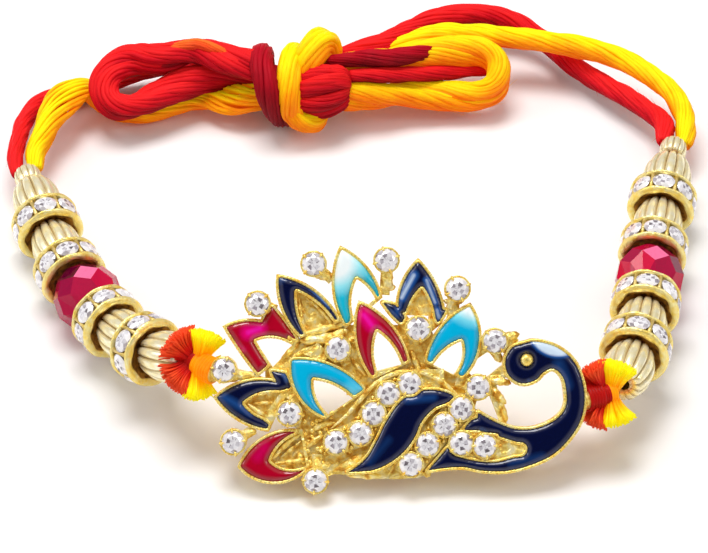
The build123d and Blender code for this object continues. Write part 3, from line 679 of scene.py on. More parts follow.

# %% [markdown]
# ## Gold finishes
# Cheap cast jewellery is plated, so its gold is bright and slightly rough in the hollows. A plain yellow
# metal would look like plastic. Here the colour drifts with soft noise from deep orange to cream, which
# paints in the glints and shade of a fine relief, and the roughness changes at a finer scale. The beads
# and plates also have painted shade: they are darker in their grooves and dishes, where light is caught.
# Their meshes say where that is with the note "outer".

# %% Bright and worked gold
# Its colour drifts with noise from deep orange to cream: painted glints and shade of a fine relief
bright_gold, tree, shader = new_finish("bright_gold")
set_shader(
    tree, shader,
    Base_Color=scale_of(
        tree, grain(tree, 0.8, 3),
        (0.3, (0.95, 0.56, 0.07)), (0.5, (1.0, 0.76, 0.17)), (0.72, (1.0, 0.88, 0.38)),
    ),
    Roughness=spread(tree, grain(tree, 0.25), 0.2, 0.36),
    Metallic=0.6,
)
raise_grain(tree, shader, grain(tree, 0.22, 3), 0.02, 0.7)


def worked_gold(name, low, high, grain_size, depth, rough):
    """Gold that darkens from high to low where the piece's note outer falls to 0.

    low and high are each a pair of colours that the gold drifts between.
    """
    finish, tree, shader = new_finish(name)
    # The note outer carries the painted shade of grooves and dishes
    shown = note(tree, "outer")
    drift = grain(tree, 0.7, 3)
    dark, light = (scale_of(tree, drift, (0.35, first), (0.65, second)) for first, second in (low, high))
    set_shader(
        tree, shader, Base_Color=blended(tree, shown, dark, light), Roughness=spread(tree, shown, *rough),
        Metallic=0.5,
    )
    raise_grain(tree, shader, grain(tree, grain_size, 3), depth, 0.9)
    return finish


rib_gold = worked_gold(
    "rib_gold", ((0.30, 0.15, 0.02), (0.55, 0.34, 0.08)), ((1.0, 0.88, 0.48), (1.0, 0.95, 0.70)),
    grain_size=0.4, depth=0.02, rough=(0.4, 0.26),
)
plate_gold = worked_gold(
    "plate_gold", ((0.12, 0.04, 0.004), (0.62, 0.30, 0.04)), ((1.0, 0.74, 0.14), (1.0, 0.90, 0.42)),
    grain_size=0.3, depth=0.10, rough=(0.5, 0.22),
)
print("gold finishes:", [m.name for m in bpy.data.materials if "gold" in m.name])

# %% [markdown]
# ## The casting and the bead string
# The peacock is one casting. The floor of its hollows is satin and folded, and its rims are polished. It
# could be painted by hand, but the height above the back says the same, so the finish reads that height
# along the way the peacock faces. A bevel node rounds each sharp edge, so that it catches the light. The
# string inside the beads is twisted thread, which a wave pattern shows well enough where it peeps out.

# %% Casting gold
PENDANT_FOOT = Vector((4.9, -24.8, 0)) * MM
PENDANT_LEAN = math.radians(45)
PENDANT_WIDTH, PENDANT_HEIGHT = 40.2, 26.8
HOLLOW_FLOOR, RIM_START = 0.75, 1.35  # mm above the casting's back
pendant_across = Vector((1, 0, 0))
pendant_up = Vector((0, math.sin(PENDANT_LEAN), math.cos(PENDANT_LEAN)))
pendant_out = Vector((0, -math.cos(PENDANT_LEAN), math.sin(PENDANT_LEAN)))

casting_gold, tree, shader = new_finish("casting_gold")
back = pendant_out @ PENDANT_FOOT
height = add_node(tree, "MapRange", {
    "Value": reach_towards(tree, place(tree), pendant_out),
    "From Min": back + HOLLOW_FLOOR * MM, "From Max": back + RIM_START * MM,
}).outputs["Result"]
# The drift paints glints and shade of a fine relief into both golds
drift = grain(tree, 0.9, 3)
floor_gold = scale_of(
    tree, drift, (0.34, (0.82, 0.40, 0.03)), (0.5, (1.0, 0.72, 0.15)), (0.68, (1.0, 0.89, 0.42)),
)
rim_gold = scale_of(
    tree, drift, (0.34, (0.66, 0.32, 0.03)), (0.48, (1.0, 0.78, 0.18)), (0.7, (1.0, 0.92, 0.54)),
)
set_shader(
    tree, shader, Base_Color=blended(tree, height, floor_gold, rim_gold),
    Roughness=spread(tree, height, 0.42, 0.3), Metallic=0.55,
)
folds = add_node(tree, "TexNoise", {
    "Vector": place(tree), "Scale": 1 / (0.9 * MM), "Detail": 4.0, "Distortion": 1.2,
})
rounded = add_node(tree, "Bevel", {"Radius": 0.09 * MM}, samples=4).outputs["Normal"]
raise_grain(tree, shader, folds.outputs["Fac"], 0.42, 0.9, rounded)


def refinish(node_name, finish):
    """Gives a solid part a new finish in all its slots."""
    for slot in solid_nodes[node_name].material_slots:
        slot.material = finish


refinish("peacock_setting", casting_gold)
string_finish, tree, shader = new_finish("bead_string")
twist = add_node(tree, "TexWave", {
    "Vector": place(tree), "Scale": 900.0, "Distortion": 3.0, "Detail": 2.0,
}).outputs["Fac"]
set_shader(
    tree, shader, Base_Color=scale_of(tree, twist, (0.2, (0.55, 0.10, 0.02)), (0.8, (0.95, 0.55, 0.12))),
    Roughness=spread(tree, grain(tree, 0.3), 0.6, 0.8),
)
raise_grain(tree, shader, twist, 0.08)
for side in ("left", "right"):
    refinish(f"{side}_thread", string_finish)
print("the casting is satin up to", HOLLOW_FLOOR, "and polished from", RIM_START, "mm above its back")

# %% [markdown]
# ## Where the beads sit
# A bead is round about its string, so two things place it: its middle and the way the string runs there.
# The middle is the middle of its solid's box, because a round solid fills its box evenly. The string's
# direction is a yaw and a climb in degrees, and each maker below works along Z and is then turned to it.

# %% Bead seats
# From the peacock outwards: each bead, and the yaw and climb of the string at its middle
BEAD_HEADINGS = {
    "left": [
        ("ribbed_bead_1", -50, -22), ("rondelle_1", -42, -17.5), ("ribbed_bead_2", -36.5, -15),
        ("rondelle_2", -32.5, -9.5), ("crystal", -29.5, -4.5), ("rondelle_3", -25, -1),
        ("ribbed_bead_3", -22, 0), ("rondelle_4", -20, 0), ("ribbed_bead_4", -18.5, 0.5),
        ("end_bead", -18.5, 0.5),
    ],
    "right": [
        ("ribbed_bead_1", 18, -8.5), ("rondelle_1", 14.5, -7), ("ribbed_bead_2", 11.5, -8),
        ("rondelle_2", 9.5, -8), ("crystal", 8.5, -6.5), ("rondelle_3", 10, -2), ("ribbed_bead_3", 11, 0),
        ("rondelle_4", 11.5, 0), ("ribbed_bead_4", 12, 0), ("end_bead", 12, 0),
    ],
}


def heading(yaw, climb):
    yaw, climb = math.radians(yaw), math.radians(climb)
    return Vector((math.sin(yaw) * math.cos(climb), math.cos(yaw) * math.cos(climb), math.sin(climb)))


def seat_of(node_name, yaw, climb):
    """The matrix that takes a bead made along Z, in millimetres, to its place."""
    low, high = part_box(node_name)
    turn = heading(yaw, climb).to_track_quat("Z", "Y").to_matrix().to_4x4()
    return Matrix.Translation((low + high) / 2) @ turn @ Matrix.Scale(MM, 4)


def put(points, matrix):
    """The points after the matrix has moved them."""
    points = np.asarray(points, float)
    matrix = np.array(matrix)
    return points @ matrix[:3, :3].T + matrix[:3, 3]


seats = {
    f"{side}_{bead}": seat_of(f"{side}_{bead}", yaw, climb)
    for side, beads in BEAD_HEADINGS.items()
    for bead, yaw, climb in beads
}
print("beads:", len(seats))

# %% [markdown]
# ## Ribbed beads
# The ribbed beads are drawn from thin tube that is pressed into rounded ribs with narrow grooves between
# them. A swept groove cut with a boolean leaves hard edges, and a texture leaves a smooth outline. So the
# surface is worked out directly: a barrel whose radius falls steeply only near the edge of each rib.

# %% Ribbed beads
BORE_RADIUS = 0.86
RIB_STEPS = 12  # points across one rib


def turned_surface(radius_at, heights, count):
    """Points and faces of a surface of rings. radius_at gives the radius for a ring and an angle."""
    points, faces = [], []
    for number, z in enumerate(heights):
        for angle in round_angles(count):
            radius = radius_at(number, angle)
            points.append((radius * math.cos(angle), radius * math.sin(angle), z))
    for a in range(0, (len(heights) - 1) * count, count):
        for k in range(count):
            j = (k + 1) % count
            faces.append((a + k, a + j, a + count + j, a + count + k))
    return points, faces


def ribbed_bead(belly, end, length, ribs, groove):
    """A barrel with ribs. belly and end are its widths, and groove is how deep the ribs are cut."""
    half = length / 2
    bow = (half**2 - ((belly - end) / 2) ** 2) / (belly - end)
    # Each ring has a fixed radius, or none where the barrel gives it
    rows = [(BORE_RADIUS, -half + 0.25), (BORE_RADIUS, -half), (end / 2 - 0.35, -half)]
    rows += [(None, z) for z in np.linspace(-half + 0.02, half - 0.02, 19)]
    rows += [(end / 2 - 0.35, half), (BORE_RADIUS, half), (BORE_RADIUS, half - 0.25)]

    def sunk(angle):
        """0 on the top of a rib and 1 in a groove."""
        rib = abs(((angle * ribs / (2 * math.pi)) % 1) * 2 - 1)
        return rib**5 * 0.85 + rib**2 * 0.15

    def radius_at(number, angle):
        fixed, z = rows[number]
        if fixed:
            return fixed
        return math.sqrt((bow + belly / 2) ** 2 - z**2) - bow - groove * sunk(angle)

    count = ribs * RIB_STEPS
    # 1 on the top of a rib, falling to 0 in a groove: the painted shade of the grooves
    raised = [max(0.0, 1 - 1.15 * sunk(2 * math.pi * k / count) ** 1.5) for _ in rows for k in range(count)]
    return *turned_surface(radius_at, [z for _, z in rows], count), raised


# Widths, length and groove in mm, and how many ribs
RIBBED = {"belly": 5.7, "end": 3.5, "length": 5.7, "ribs": 13, "groove": 0.55}
END_BEAD = {"belly": 3.2, "end": 2.6, "length": 2.0, "ribs": 12, "groove": 0.2}
for name, seat in seats.items():
    if "ribbed" in name or "end_bead" in name:
        points, faces, raised = ribbed_bead(**(END_BEAD if "end_bead" in name else RIBBED))
        make_piece(name + "_ribs", put(points, seat), faces, rib_gold, [name], {"outer": raised})

# %% [markdown]
# ## Stone-set rondelles
# A rondelle is two dished plates with wavy, rolled lips, and a ring of small cut stones between them. The
# plates could be revolved and left round, but the real lip is pressed down round each stone. So the lip's
# radius and height ripple with the stones.

# %% Rondelle plates
STONES_ROUND = 8
PLATE_STEPS = 96
# From the hub out over the lip and back in to the belt: a radius and a height over the rondelle's middle
PLATE_PROFILE = [
    (BORE_RADIUS, 0.2), (BORE_RADIUS, 0.72), (1.2, 0.76), (1.7, 0.77), (2.05, 0.82), (2.35, 0.98),
    (2.75, 1.3), (3.05, 1.58), (3.25, 1.71), (3.45, 1.75), (3.68, 1.74), (3.86, 1.64), (3.97, 1.5),
    (3.99, 1.38), (3.9, 1.27), (3.7, 1.22), (3.3, 1.2), (2.9, 1.2), (2.87, 1.0), (2.87, 0.0),
]
# The lip starts at the dish's edge, and its outside is drawn in and down a little to look rolled
DISH_EDGE, LIP_LENGTH = 2.2, 1.7
LIP_OUTSIDE, LIP_IN, LIP_DOWN = 2.9, 0.08, 0.06


def rondelle_plates(draw):
    """Both plates and the hub, with ripples at the lips, and how far each point is out of the dish."""
    shift = draw.uniform(0, 6.3)
    points, faces, raised = [], [], []
    count = PLATE_STEPS
    for way in (1, -1):
        start = len(points)
        for radius, z in PLATE_PROFILE:
            lip = max(0.0, (radius - DISH_EDGE) / LIP_LENGTH)
            inner = 1.0 if DISH_EDGE < radius < 3.4 and z > 0.9 else 0.0
            drawn_in, drawn_down = (LIP_IN, LIP_DOWN) if radius > LIP_OUTSIDE else (0, 0)
            for k in range(count):
                angle = 2 * math.pi * k / count
                wave = math.cos(STONES_ROUND * angle + way) + 0.6 * math.sin(5 * angle + shift)
                out, up = radius + 0.10 * wave * inner - drawn_in, z + 0.055 * wave * lip - drawn_down
                points.append((out * math.cos(angle), out * math.sin(angle), way * up))
                # 1 on the lip and 0 in the dish: the painted shade of the dish
                raised.append(1.0 if radius > 3.1 or z < 1.25 and radius > 2.5 else 0.0)
        for row in range(len(PLATE_PROFILE) - 1):
            for k in range(count):
                j = (k + 1) % count
                a, b = start + row * count, start + (row + 1) * count
                face = (a + k, b + k, b + j, a + j)
                faces.append(face if way > 0 else face[::-1])
    return points, faces, raised


print("points in a plate's outline:", len(PLATE_PROFILE))

# %% [markdown]
# ## Bars and whole rondelles
# Thin bars stand between the stones and hold them. A bar is a block whose outer face is chamfered, since
# a sharp block would show as a dark line, and the chamfer gives it the small highlight of a real one.

# %% Rondelles
BAR_OUT, BAR_THICK, BAR_WIDE, BAR_TALL = 3.42, 0.75, 0.42, 2.42  # mm
# The bars take a middling place in the painted shade of the plates
BAR_SHINE = 0.55  # between the dark of the dish at 0 and the bright of the lip at 1


def holding_bars(angles):
    points, faces = [], []
    for angle in angles:
        start = len(points)
        c, s = math.cos(angle), math.sin(angle)
        for x, share in ((-1, 1.0), (0.5, 1.0), (1, 0.55)):
            for y, up in ((-1, -1), (1, -1), (1, 1), (-1, 1)):
                px, py = BAR_OUT + x * BAR_THICK / 2, y * BAR_WIDE / 2 * share
                points.append((px * c - py * s, px * s + py * c, up * BAR_TALL / 2 * (1 if x < 1 else 0.9)))
        for row in (start, start + 4):
            for k in range(4):
                j = (k + 1) % 4
                faces.append((row + k, row + j, row + 4 + j, row + 4 + k))
        faces.append((start + 8, start + 9, start + 10, start + 11))
    return points, faces


gaps = [2 * math.pi * (k + 0.5) / STONES_ROUND for k in range(STONES_ROUND)]
for number, (name, seat) in enumerate(seats.items()):
    if "rondelle" in name:
        draw = seeded("rondelles", number)
        *plates, raised = rondelle_plates(draw)
        points, faces = joined(plates, holding_bars(gaps))
        notes = {"outer": raised + [BAR_SHINE] * (len(points) - len(raised))}
        make_piece(name + "_plates", put(points, seat), faces, plate_gold, [name], notes)

# %% [markdown]
# ## Cut stones
# Each stone is a small round cut glass: a flat table, a crown of facets round it and a mirrored back. Real
# glass with refraction needs many light bounces and turns grey at this size. What the eye sees is a star
# of bright and dark facets, so each facet gets a painted brightness that stands in for its reflections,
# and the table shows a painted star of the mirrored back as thin wedges that tilt a little, which makes
# them glitter as the view turns.

# %% Stone cutting
def cut_stone(radius, crown, draw, table=0.6, sides=8):
    """Points, faces and a brightness for each face. The girdle is at z = 0 and the table looks along Z."""

    def ring(count, r, z, shift=0.0):
        angles = [2 * math.pi * (k + shift) / count for k in range(count)]
        return [(r * math.cos(angle), r * math.sin(angle), z) for angle in angles]

    points = ring(sides, radius * table, crown) + ring(sides, radius * 0.84, crown * 0.52, 0.5)
    points += ring(2 * sides, radius, 0) + ring(2 * sides, radius * 0.97, -crown * 0.35)
    points += [(0, 0, crown * 0.9)] + ring(2 * sides, radius * table * 0.45, crown * 0.97, 0.25)
    # Where the points of each ring start: table, kites, girdle, back, the table's middle and its star
    t, m, g, b, middle, inner = 0, sides, 2 * sides, 4 * sides, 6 * sides, 6 * sides + 1
    faces, bright = [], []

    def add(face, low, high):
        faces.append(face)
        bright.append(draw.uniform(low, high))

    for k in range(sides):
        j, past = (k + 1) % sides, (2 * k + 2) % (2 * sides)
        add((t + k, m + k, t + j), 0.35, 1.0)
        add((t + j, m + k, g + past, m + j), 0.15, 0.95)
        add((m + k, g + 2 * k, g + 2 * k + 1), 0.1, 0.8)
        add((m + k, g + 2 * k + 1, g + past), 0.1, 0.9)
        for side in (2 * k, 2 * k + 1):
            after = (side + 1) % (2 * sides)
            add((g + side, b + side, b + after, g + after), 0.0, 0.35)
            add((inner + side, inner + after, middle), 0.3, 1.0)
        add((t + k, t + j, inner + 2 * k + 1, inner + 2 * k), *((0.0, 0.55) if k % 2 else (0.55, 1.0)))
        add((t + j, inner + past, inner + 2 * k + 1), 0.0, 0.5)
    return points, faces, bright


print("facets in a stone:", len(cut_stone(1, 0.4, seeded("belt stones"))[1]))

# %% [markdown]
# ## Stone finish and the rondelles' stones
# One finish serves every clear stone: it turns a facet's brightness into a colour, from the grey of a
# facet that mirrors the dark opening to white. Refraction would do that by itself with a slow render.
# The rondelles' stones stand in a ring and look outward, each a little longer round the belt than high.

# %% Clear stones
def stone_finish(name, *stops, metal=0.2, glow=0.0, coat=0.3, smear=0.12, shine=0.5):
    """Cut glass. Each stop is a facet's brightness and its colour, and smear blurs the brightness."""
    finish, tree, shader = new_finish(name)
    blur = spread(tree, grain(tree, 0.35, 1), -smear, smear)
    shade = scale_of(tree, added(tree, note(tree, "facet"), blur), *stops)
    set_shader(
        tree, shader,
        Base_Color=shade, Roughness=spread(tree, grain(tree, 0.2), 0.03, 0.10), Metallic=metal,
        Specular_IOR_Level=shine, Coat_Weight=coat, Coat_Roughness=0.02,
        Emission_Color=shade, Emission_Strength=glow,
    )
    return finish


clear_stone = stone_finish(
    "clear_stone", (0.02, (0.14, 0.12, 0.13)), (0.2, (0.40, 0.36, 0.40)), (0.4, (0.72, 0.70, 0.74)),
    (0.6, (0.96, 0.95, 0.97)),
)


def stones_piece(name, seats_and_sizes, replaces, draw):
    """One piece from many stones, each with a matrix, a radius and a crown."""
    points, faces, bright = [], [], []
    for matrix, radius, crown in seats_and_sizes:
        turn = Matrix.Rotation(draw.uniform(0, 6.3), 4, "Z")
        new_points, new_faces, new_bright = cut_stone(radius, crown, draw)
        faces += shifted(new_faces, len(points))
        points += [tuple(p) for p in put(new_points, matrix @ turn)]
        bright += new_bright
    notes = {"facet": bright}
    return make_piece(name, points, faces, clear_stone, replaces, notes, smooth=False)


BELT_OUT, BELT_STONE_RADIUS, BELT_STONE_CROWN = 3.56, 1.17, 0.36
cushion = Matrix.Rotation(math.pi / 2, 4, "Y") @ Matrix.Diagonal((1.0, 1.12, 1.0, 1.0))
for number, (name, seat) in enumerate(seats.items()):
    if "rondelle" in name:
        places_round = []
        for angle in (2 * math.pi * k / STONES_ROUND for k in range(STONES_ROUND)):
            outward = Matrix.Rotation(angle, 4, "Z") @ Matrix.Translation((BELT_OUT, 0, 0))
            places_round.append((seat @ outward @ cushion, BELT_STONE_RADIUS, BELT_STONE_CROWN))
        stones_name = name.replace("rondelle_", "rondelle_stones_")
        stones_piece(stones_name + "_cut", places_round, [stones_name], seeded("belt stones", number))

# %% [markdown]
# ## Crimson crystals
# The crystals are pressed glass with diamond facets: a row of them round the belt, kites above and below,
# and triangles at the holes. Each facet would mirror another part of the bead, so each gets a painted
# shade from near black to bright red. One facet gets a painted pink highlight, as if it caught the studio
# light, and the bead is turned to show it.

# %% Crystals
# The pink top stop is the painted highlight of the flashing facet, and a faint painted glow stands in for
# light through the red glass
crimson_glass = stone_finish(
    "crimson_glass", (0.0, (0.08, 0.0, 0.018)), (0.3, (0.22, 0.0, 0.035)), (0.6, (0.46, 0.0, 0.045)),
    (0.85, (0.66, 0.004, 0.04)), (1.0, (0.82, 0.16, 0.32)),
    metal=0.0, glow=0.08, coat=0.0, smear=0.05, shine=0.25,
)
CRYSTAL_SIDES = 8
# From one hole over the belt to the other: a radius, a height and a turn in shares of a side
CRYSTAL_RINGS = [
    (0.85, 3.1, 0), (0.85, 3.5, 0), (2.2, 3.5, 0), (3.68, 1.3, 0.5), (3.98, 0, 0), (3.68, -1.3, 0.5),
    (2.2, -3.5, 0), (0.85, -3.5, 0), (0.85, -3.1, 0),
]
# The nine faces of a side follow each other, and these are the shades that some of them may have
FACET_SHADES = {
    4: (0.15, 0.6, 0.9), 5: (0.15, 0.55, 0.8), 6: (0.05, 0.45, 0.75), 7: (0.05, 0.5, 0.7),
    8: (0.2, 0.4, 0.65),
}
HOLE_SHADES = (0.1, 0.3)
FACES_A_SIDE, BELT_FACE = 9, 8
# Which way the facet with the painted pink highlight looks on each side
FLASH = {"left": Vector((0.2, -0.3, 0.93)), "right": Vector((0.03, -0.52, 0.86))}
CRYSTAL_SEEDS = {"left": 5, "right": 8}


def faceted_crystal():
    n = CRYSTAL_SIDES
    points, faces = [], []
    for radius, z, shift in CRYSTAL_RINGS:
        for angle in (2 * math.pi * (k + shift) / n for k in range(n)):
            points.append((radius * math.cos(angle), radius * math.sin(angle), z))
    for k in range(n):
        j = (k + 1) % n
        for row in (0, 1, 6, 7):
            faces.append((row * n + k, (row + 1) * n + k, (row + 1) * n + j, row * n + j))
        faces.append((2 * n + k, 3 * n + k, 2 * n + j))
        faces.append((6 * n + k, 6 * n + j, 5 * n + k))
        faces.append((2 * n + j, 3 * n + k, 4 * n + j, 3 * n + j))
        faces.append((6 * n + j, 5 * n + j, 4 * n + j, 5 * n + k))
        faces.append((3 * n + k, 4 * n + k, 5 * n + k, 4 * n + j))
    return points, faces


for side, seed in CRYSTAL_SEEDS.items():
    name = f"{side}_crystal"
    draw = np.random.default_rng(seed)
    points, faces = faceted_crystal()
    seat = seats[name]
    toward = seat.to_3x3().inverted() @ FLASH[side]
    turn = math.atan2(toward.y, toward.x) - math.pi / CRYSTAL_SIDES
    placed = put(points, seat @ Matrix.Rotation(turn, 4, "Z"))
    kinds = [FACET_SHADES.get(k % FACES_A_SIDE, HOLE_SHADES) for k in range(len(faces))]
    shades = [draw.choice(kind) + draw.uniform(-0.04, 0.04) for kind in kinds]
    belt = range(BELT_FACE, len(faces), FACES_A_SIDE)
    flashing = max(belt, key=lambda k: placed[list(faces[k])].mean(0) @ np.array(FLASH[side]))
    shades[flashing] = 1.0
    print(name, "flashes at", np.round(placed[list(faces[flashing])].mean(0) / MM, 1), "mm")
    notes = {"facet": shades}
    make_piece(name + "_facets", placed, faces, crimson_glass, [name], notes, smooth=False)

# %% [markdown]
# ## Enamel
# Enamel is glass paste that melts into a hollow of the metal. It stands a little proud in the middle,
# creeps down at the rims, and looks deeper where it is thick. A flat inlay would mirror the studio like a
# tile, so each field is rebuilt as a dome. The first step is to find its outline: the edges of the solid's
# top faces that only one face uses. They could be typed in, but read from the solid they always fit.

# %% Enamel outlines
CORNERS_A_MM = 500  # corners closer than one part of this are the same corner
TOP_SKIN, FACING_OUT, SHORTEST_OUTLINE = 0.02, 0.9, 5
pendant_axes = np.array([pendant_across, pendant_up, pendant_out])


def to_pendant(points):
    """Row frame points in metres as across, up and out on the pendant, in millimetres."""
    return (np.asarray(points, float) - np.array(PENDANT_FOOT)) @ pendant_axes.T / MM


def from_pendant(points):
    """The way back: millimetres on the pendant as row frame points in metres."""
    return np.asarray(points, float) @ pendant_axes * MM + np.array(PENDANT_FOOT)


def at_percent(across, up, out=0.0):
    """Percents of the pendant's width and height as millimetres on it."""
    return (across / 100 * PENDANT_WIDTH, up / 100 * PENDANT_HEIGHT, out)


def top_outlines(node_name):
    """The closed outlines of a solid's top faces, the enamel to the left of each, and their height."""
    mesh = solid_nodes[node_name].data
    local = to_pendant([v.co for v in mesh.vertices])
    top = local[:, 2].max()
    spots = [(round(x * CORNERS_A_MM), round(y * CORNERS_A_MM)) for x, y, _ in local]
    where = {spot: local[k, :2] for k, spot in enumerate(spots)}
    edges = set()
    for polygon in mesh.polygons:
        corners = list(polygon.vertices)
        on_top = all(local[c, 2] > top - TOP_SKIN for c in corners)
        if on_top and polygon.normal @ pendant_out > FACING_OUT:
            ring = [spots[c] for c in corners]
            edges |= {(a, b) for a, b in zip(ring, ring[1:] + ring[:1]) if a != b}
    after = {a: b for a, b in edges if (b, a) not in edges}
    outlines = []
    while after:
        ring, spot = [], min(after)
        while spot in after:
            ring.append(where[spot])
            spot = after.pop(spot)
        if len(ring) > SHORTEST_OUTLINE:
            outlines.append(np.array(ring))
    return outlines, top


def evenly_closed(outline, step):
    """A closed outline with its points at even distances."""
    flat = np.column_stack([outline, np.zeros(len(outline))])
    return even_line(np.vstack([flat, flat[:1]]), step)[:-1, :2]


def distance_to_run(points, start, end):
    """The distance from each point to a straight run between two ends."""
    run = end - start
    share = np.clip((points - start) @ run / max(run @ run, 1e-9), 0, 1)
    return np.linalg.norm(points - start - share[:, None] * run, axis=1)


def distance_to(outlines, points):
    """The distance from each point to the nearest outline, and whether the point is inside."""
    nearest = np.full(len(points), np.inf)
    inside = np.zeros(len(points), bool)
    for outline in outlines:
        for p, q in zip(outline, np.roll(outline, -1, axis=0)):
            nearest = np.minimum(nearest, distance_to_run(points, p, q))
            if p[1] != q[1]:
                between = (p[1] > points[:, 1]) != (q[1] > points[:, 1])
                crossing = p[0] + (points[:, 1] - p[1]) * (q[0] - p[0]) / (q[1] - p[1])
                inside ^= between & (points[:, 0] < crossing)
    return nearest, inside


print("outlines of the neck:", len(top_outlines("neck_enamel")[0]))

# %% [markdown]
# ## Painted highlights in the enamel
# Where enamel mirrors a lamp it looks paler, and these painted highlights have their own shapes: a round
# white highlight on the top of the head, streaks down a feather. The render's own reflections move with
# the view, so the lasting ones are painted in as short streaks with soft edges, each given by its two ends.

# %% Pale places
# For each field its painted highlight streaks: two ends in percents, half a width and a soft edge in mm, and
# a strength
PAINTED_HIGHLIGHTS = {
    "turquoise_top": [((-17, 93), (-17.5, 97), 2.6, 2.4, 1.0), ((-7, 70), (-5, 68), 0.5, 1.2, 0.4)],
    "turquoise_right": [((21.5, 84.5), (21.5, 84.5), 4.2, 1.8, 1.0)],
    "turquoise_centre": [((-13, 42), (-9, 40), 0.5, 1.4, 0.35)],
    "crimson_left": [((-40.5, 65), (-37.5, 66.5), 0.4, 1.4, 1.0), ((-44, 60), (-42, 58), 0.2, 0.7, 0.4)],
    "crimson_centre": [((-9.5, 72), (-7.5, 68), 0.35, 1.3, 1.0), ((-5.5, 67), (-4, 64), 0.12, 0.4, 0.7)],
    "crimson_lower": [((-38, 15), (-36, 19), 0.3, 1.2, 0.3)],
    "navy_top_left": [
        ((-33, 88), (-29.5, 91), 0.4, 1.7, 0.6), ((-33.5, 80), (-32.5, 72), 0.2, 1.3, 0.3),
        ((-24.5, 84.5), (-18.5, 75.5), 0.2, 0.35, 0.95),
    ],
    "navy_top_right": [
        ((3.8, 88), (0.6, 79), 0.35, 0.7, 0.9), ((7.2, 86), (9.5, 77), 0.25, 0.5, 0.85),
        ((0, 77), (-1, 71), 0.2, 0.6, 0.4), ((10, 74), (10.6, 71), 0.3, 0.4, 0.7),
        ((-6.5, 76), (-2, 72.5), 0.25, 0.5, 0.6),
    ],
    "navy_left": [((-47, 39), (-40, 33), 0.25, 0.9, 0.45), ((-31.5, 50), (-30, 46), 0.2, 0.5, 0.6)],
    "neck": [
        ((42.5, 68), (42.5, 68), 3.45, 0.5, 1.0), ((42.5, 52), (44.5, 44), 0.3, 1.4, 0.32),
        ((34.5, 45.5), (36, 45), 0.1, 0.4, 0.3), ((22, 25.5), (25, 22.5), 0.2, 0.5, 0.5),
        ((30, 12.5), (38, 15.5), 0.2, 0.9, 0.2),
    ],
    "wing": [((2, 38), (9, 39), 0.2, 0.9, 0.35), ((-8, 13), (-3, 22), 0.2, 0.9, 0.18)],
}


def painted_highlight_at(name, spots):
    """How strongly a painted highlight pales the colour of a field at each of its points."""
    pale = np.zeros(len(spots))
    for start, end, half, soft, strength in PAINTED_HIGHLIGHTS.get(name, []):
        gap = distance_to_run(spots, *(np.array(at_percent(*spot)[:2]) for spot in (start, end))) - half
        pale = np.maximum(pale, strength * np.clip(0.5 - gap / soft, 0, 1))
    return pale


print("pale streaks:", sum(len(streaks) for streaks in PAINTED_HIGHLIGHTS.values()))

# %% [markdown]
# ## Domes of enamel
# Points fill the outline in offset rows, a triangulation joins them, and every point rises with its
# distance from the edge, steeply at first and then level, as molten glass does. A bevel of the solid would
# be simpler, but it has no points in the middle that could carry the colour.

# %% Enamel domes
ENAMEL_SPACING, ROW_SHARE = 0.2, 0.87  # mm between points, and rows a little closer
DOME_RISE, DOME_REACH, EDGE_DROP = 0.34, 0.85, 0.16  # mm


def domed_enamel(name):
    """Points, faces, notes, outlines and the solid's height for one field of enamel."""
    outlines, top = top_outlines(name + "_enamel")
    outlines = [evenly_closed(outline, ENAMEL_SPACING) for outline in outlines]
    edge_points = np.vstack(outlines)
    low, high = edge_points.min(0), edge_points.max(0)
    columns = np.arange(low[0], high[0], ENAMEL_SPACING)
    rows = np.arange(low[1], high[1], ENAMEL_SPACING * ROW_SHARE)
    fill = np.array([(x + (k % 2) * ENAMEL_SPACING / 2, y) for k, y in enumerate(rows) for x in columns])
    deep, inside = distance_to(outlines, fill)
    flat = np.vstack([edge_points, fill[inside & (deep > ENAMEL_SPACING * 0.5)]])
    edges, start = [], 0
    for outline in outlines:
        edges += [(start + k, start + (k + 1) % len(outline)) for k in range(len(outline))]
        start += len(outline)
    flat, _, faces, *_ = delaunay_2d_cdt([Vector(p) for p in flat], edges, [], 0, 1e-5)
    flat = np.array(flat)
    centres = np.array([flat[list(face)].mean(0) for face in faces])
    kept = distance_to(outlines, centres)[1]
    faces = [face for face, keep in zip(faces, kept) if keep]
    deep, _ = distance_to(outlines, flat)
    domed = np.clip(deep / DOME_REACH, 0, 1)
    height = top - EDGE_DROP + DOME_RISE * np.sqrt(1 - (1 - domed) ** 2)
    notes = {"deep": domed, "pale": painted_highlight_at(name, flat)}
    return from_pendant(np.column_stack([flat, height])), faces, notes, outlines, top


print("enamel rises", round(DOME_RISE - EDGE_DROP, 2), "mm over the rim")

# %% [markdown]
# ## Enamel colours
# Four pots of colour fill the eleven fields. Enamel has another tone at the edge, where it is thin over
# the metal, and is a little cloudy in the middle. One colour would look like paint, so each pot has four:
# the edge, the body, and two for the painted highlight streaks, which go over a middling tone to nearly
# white.

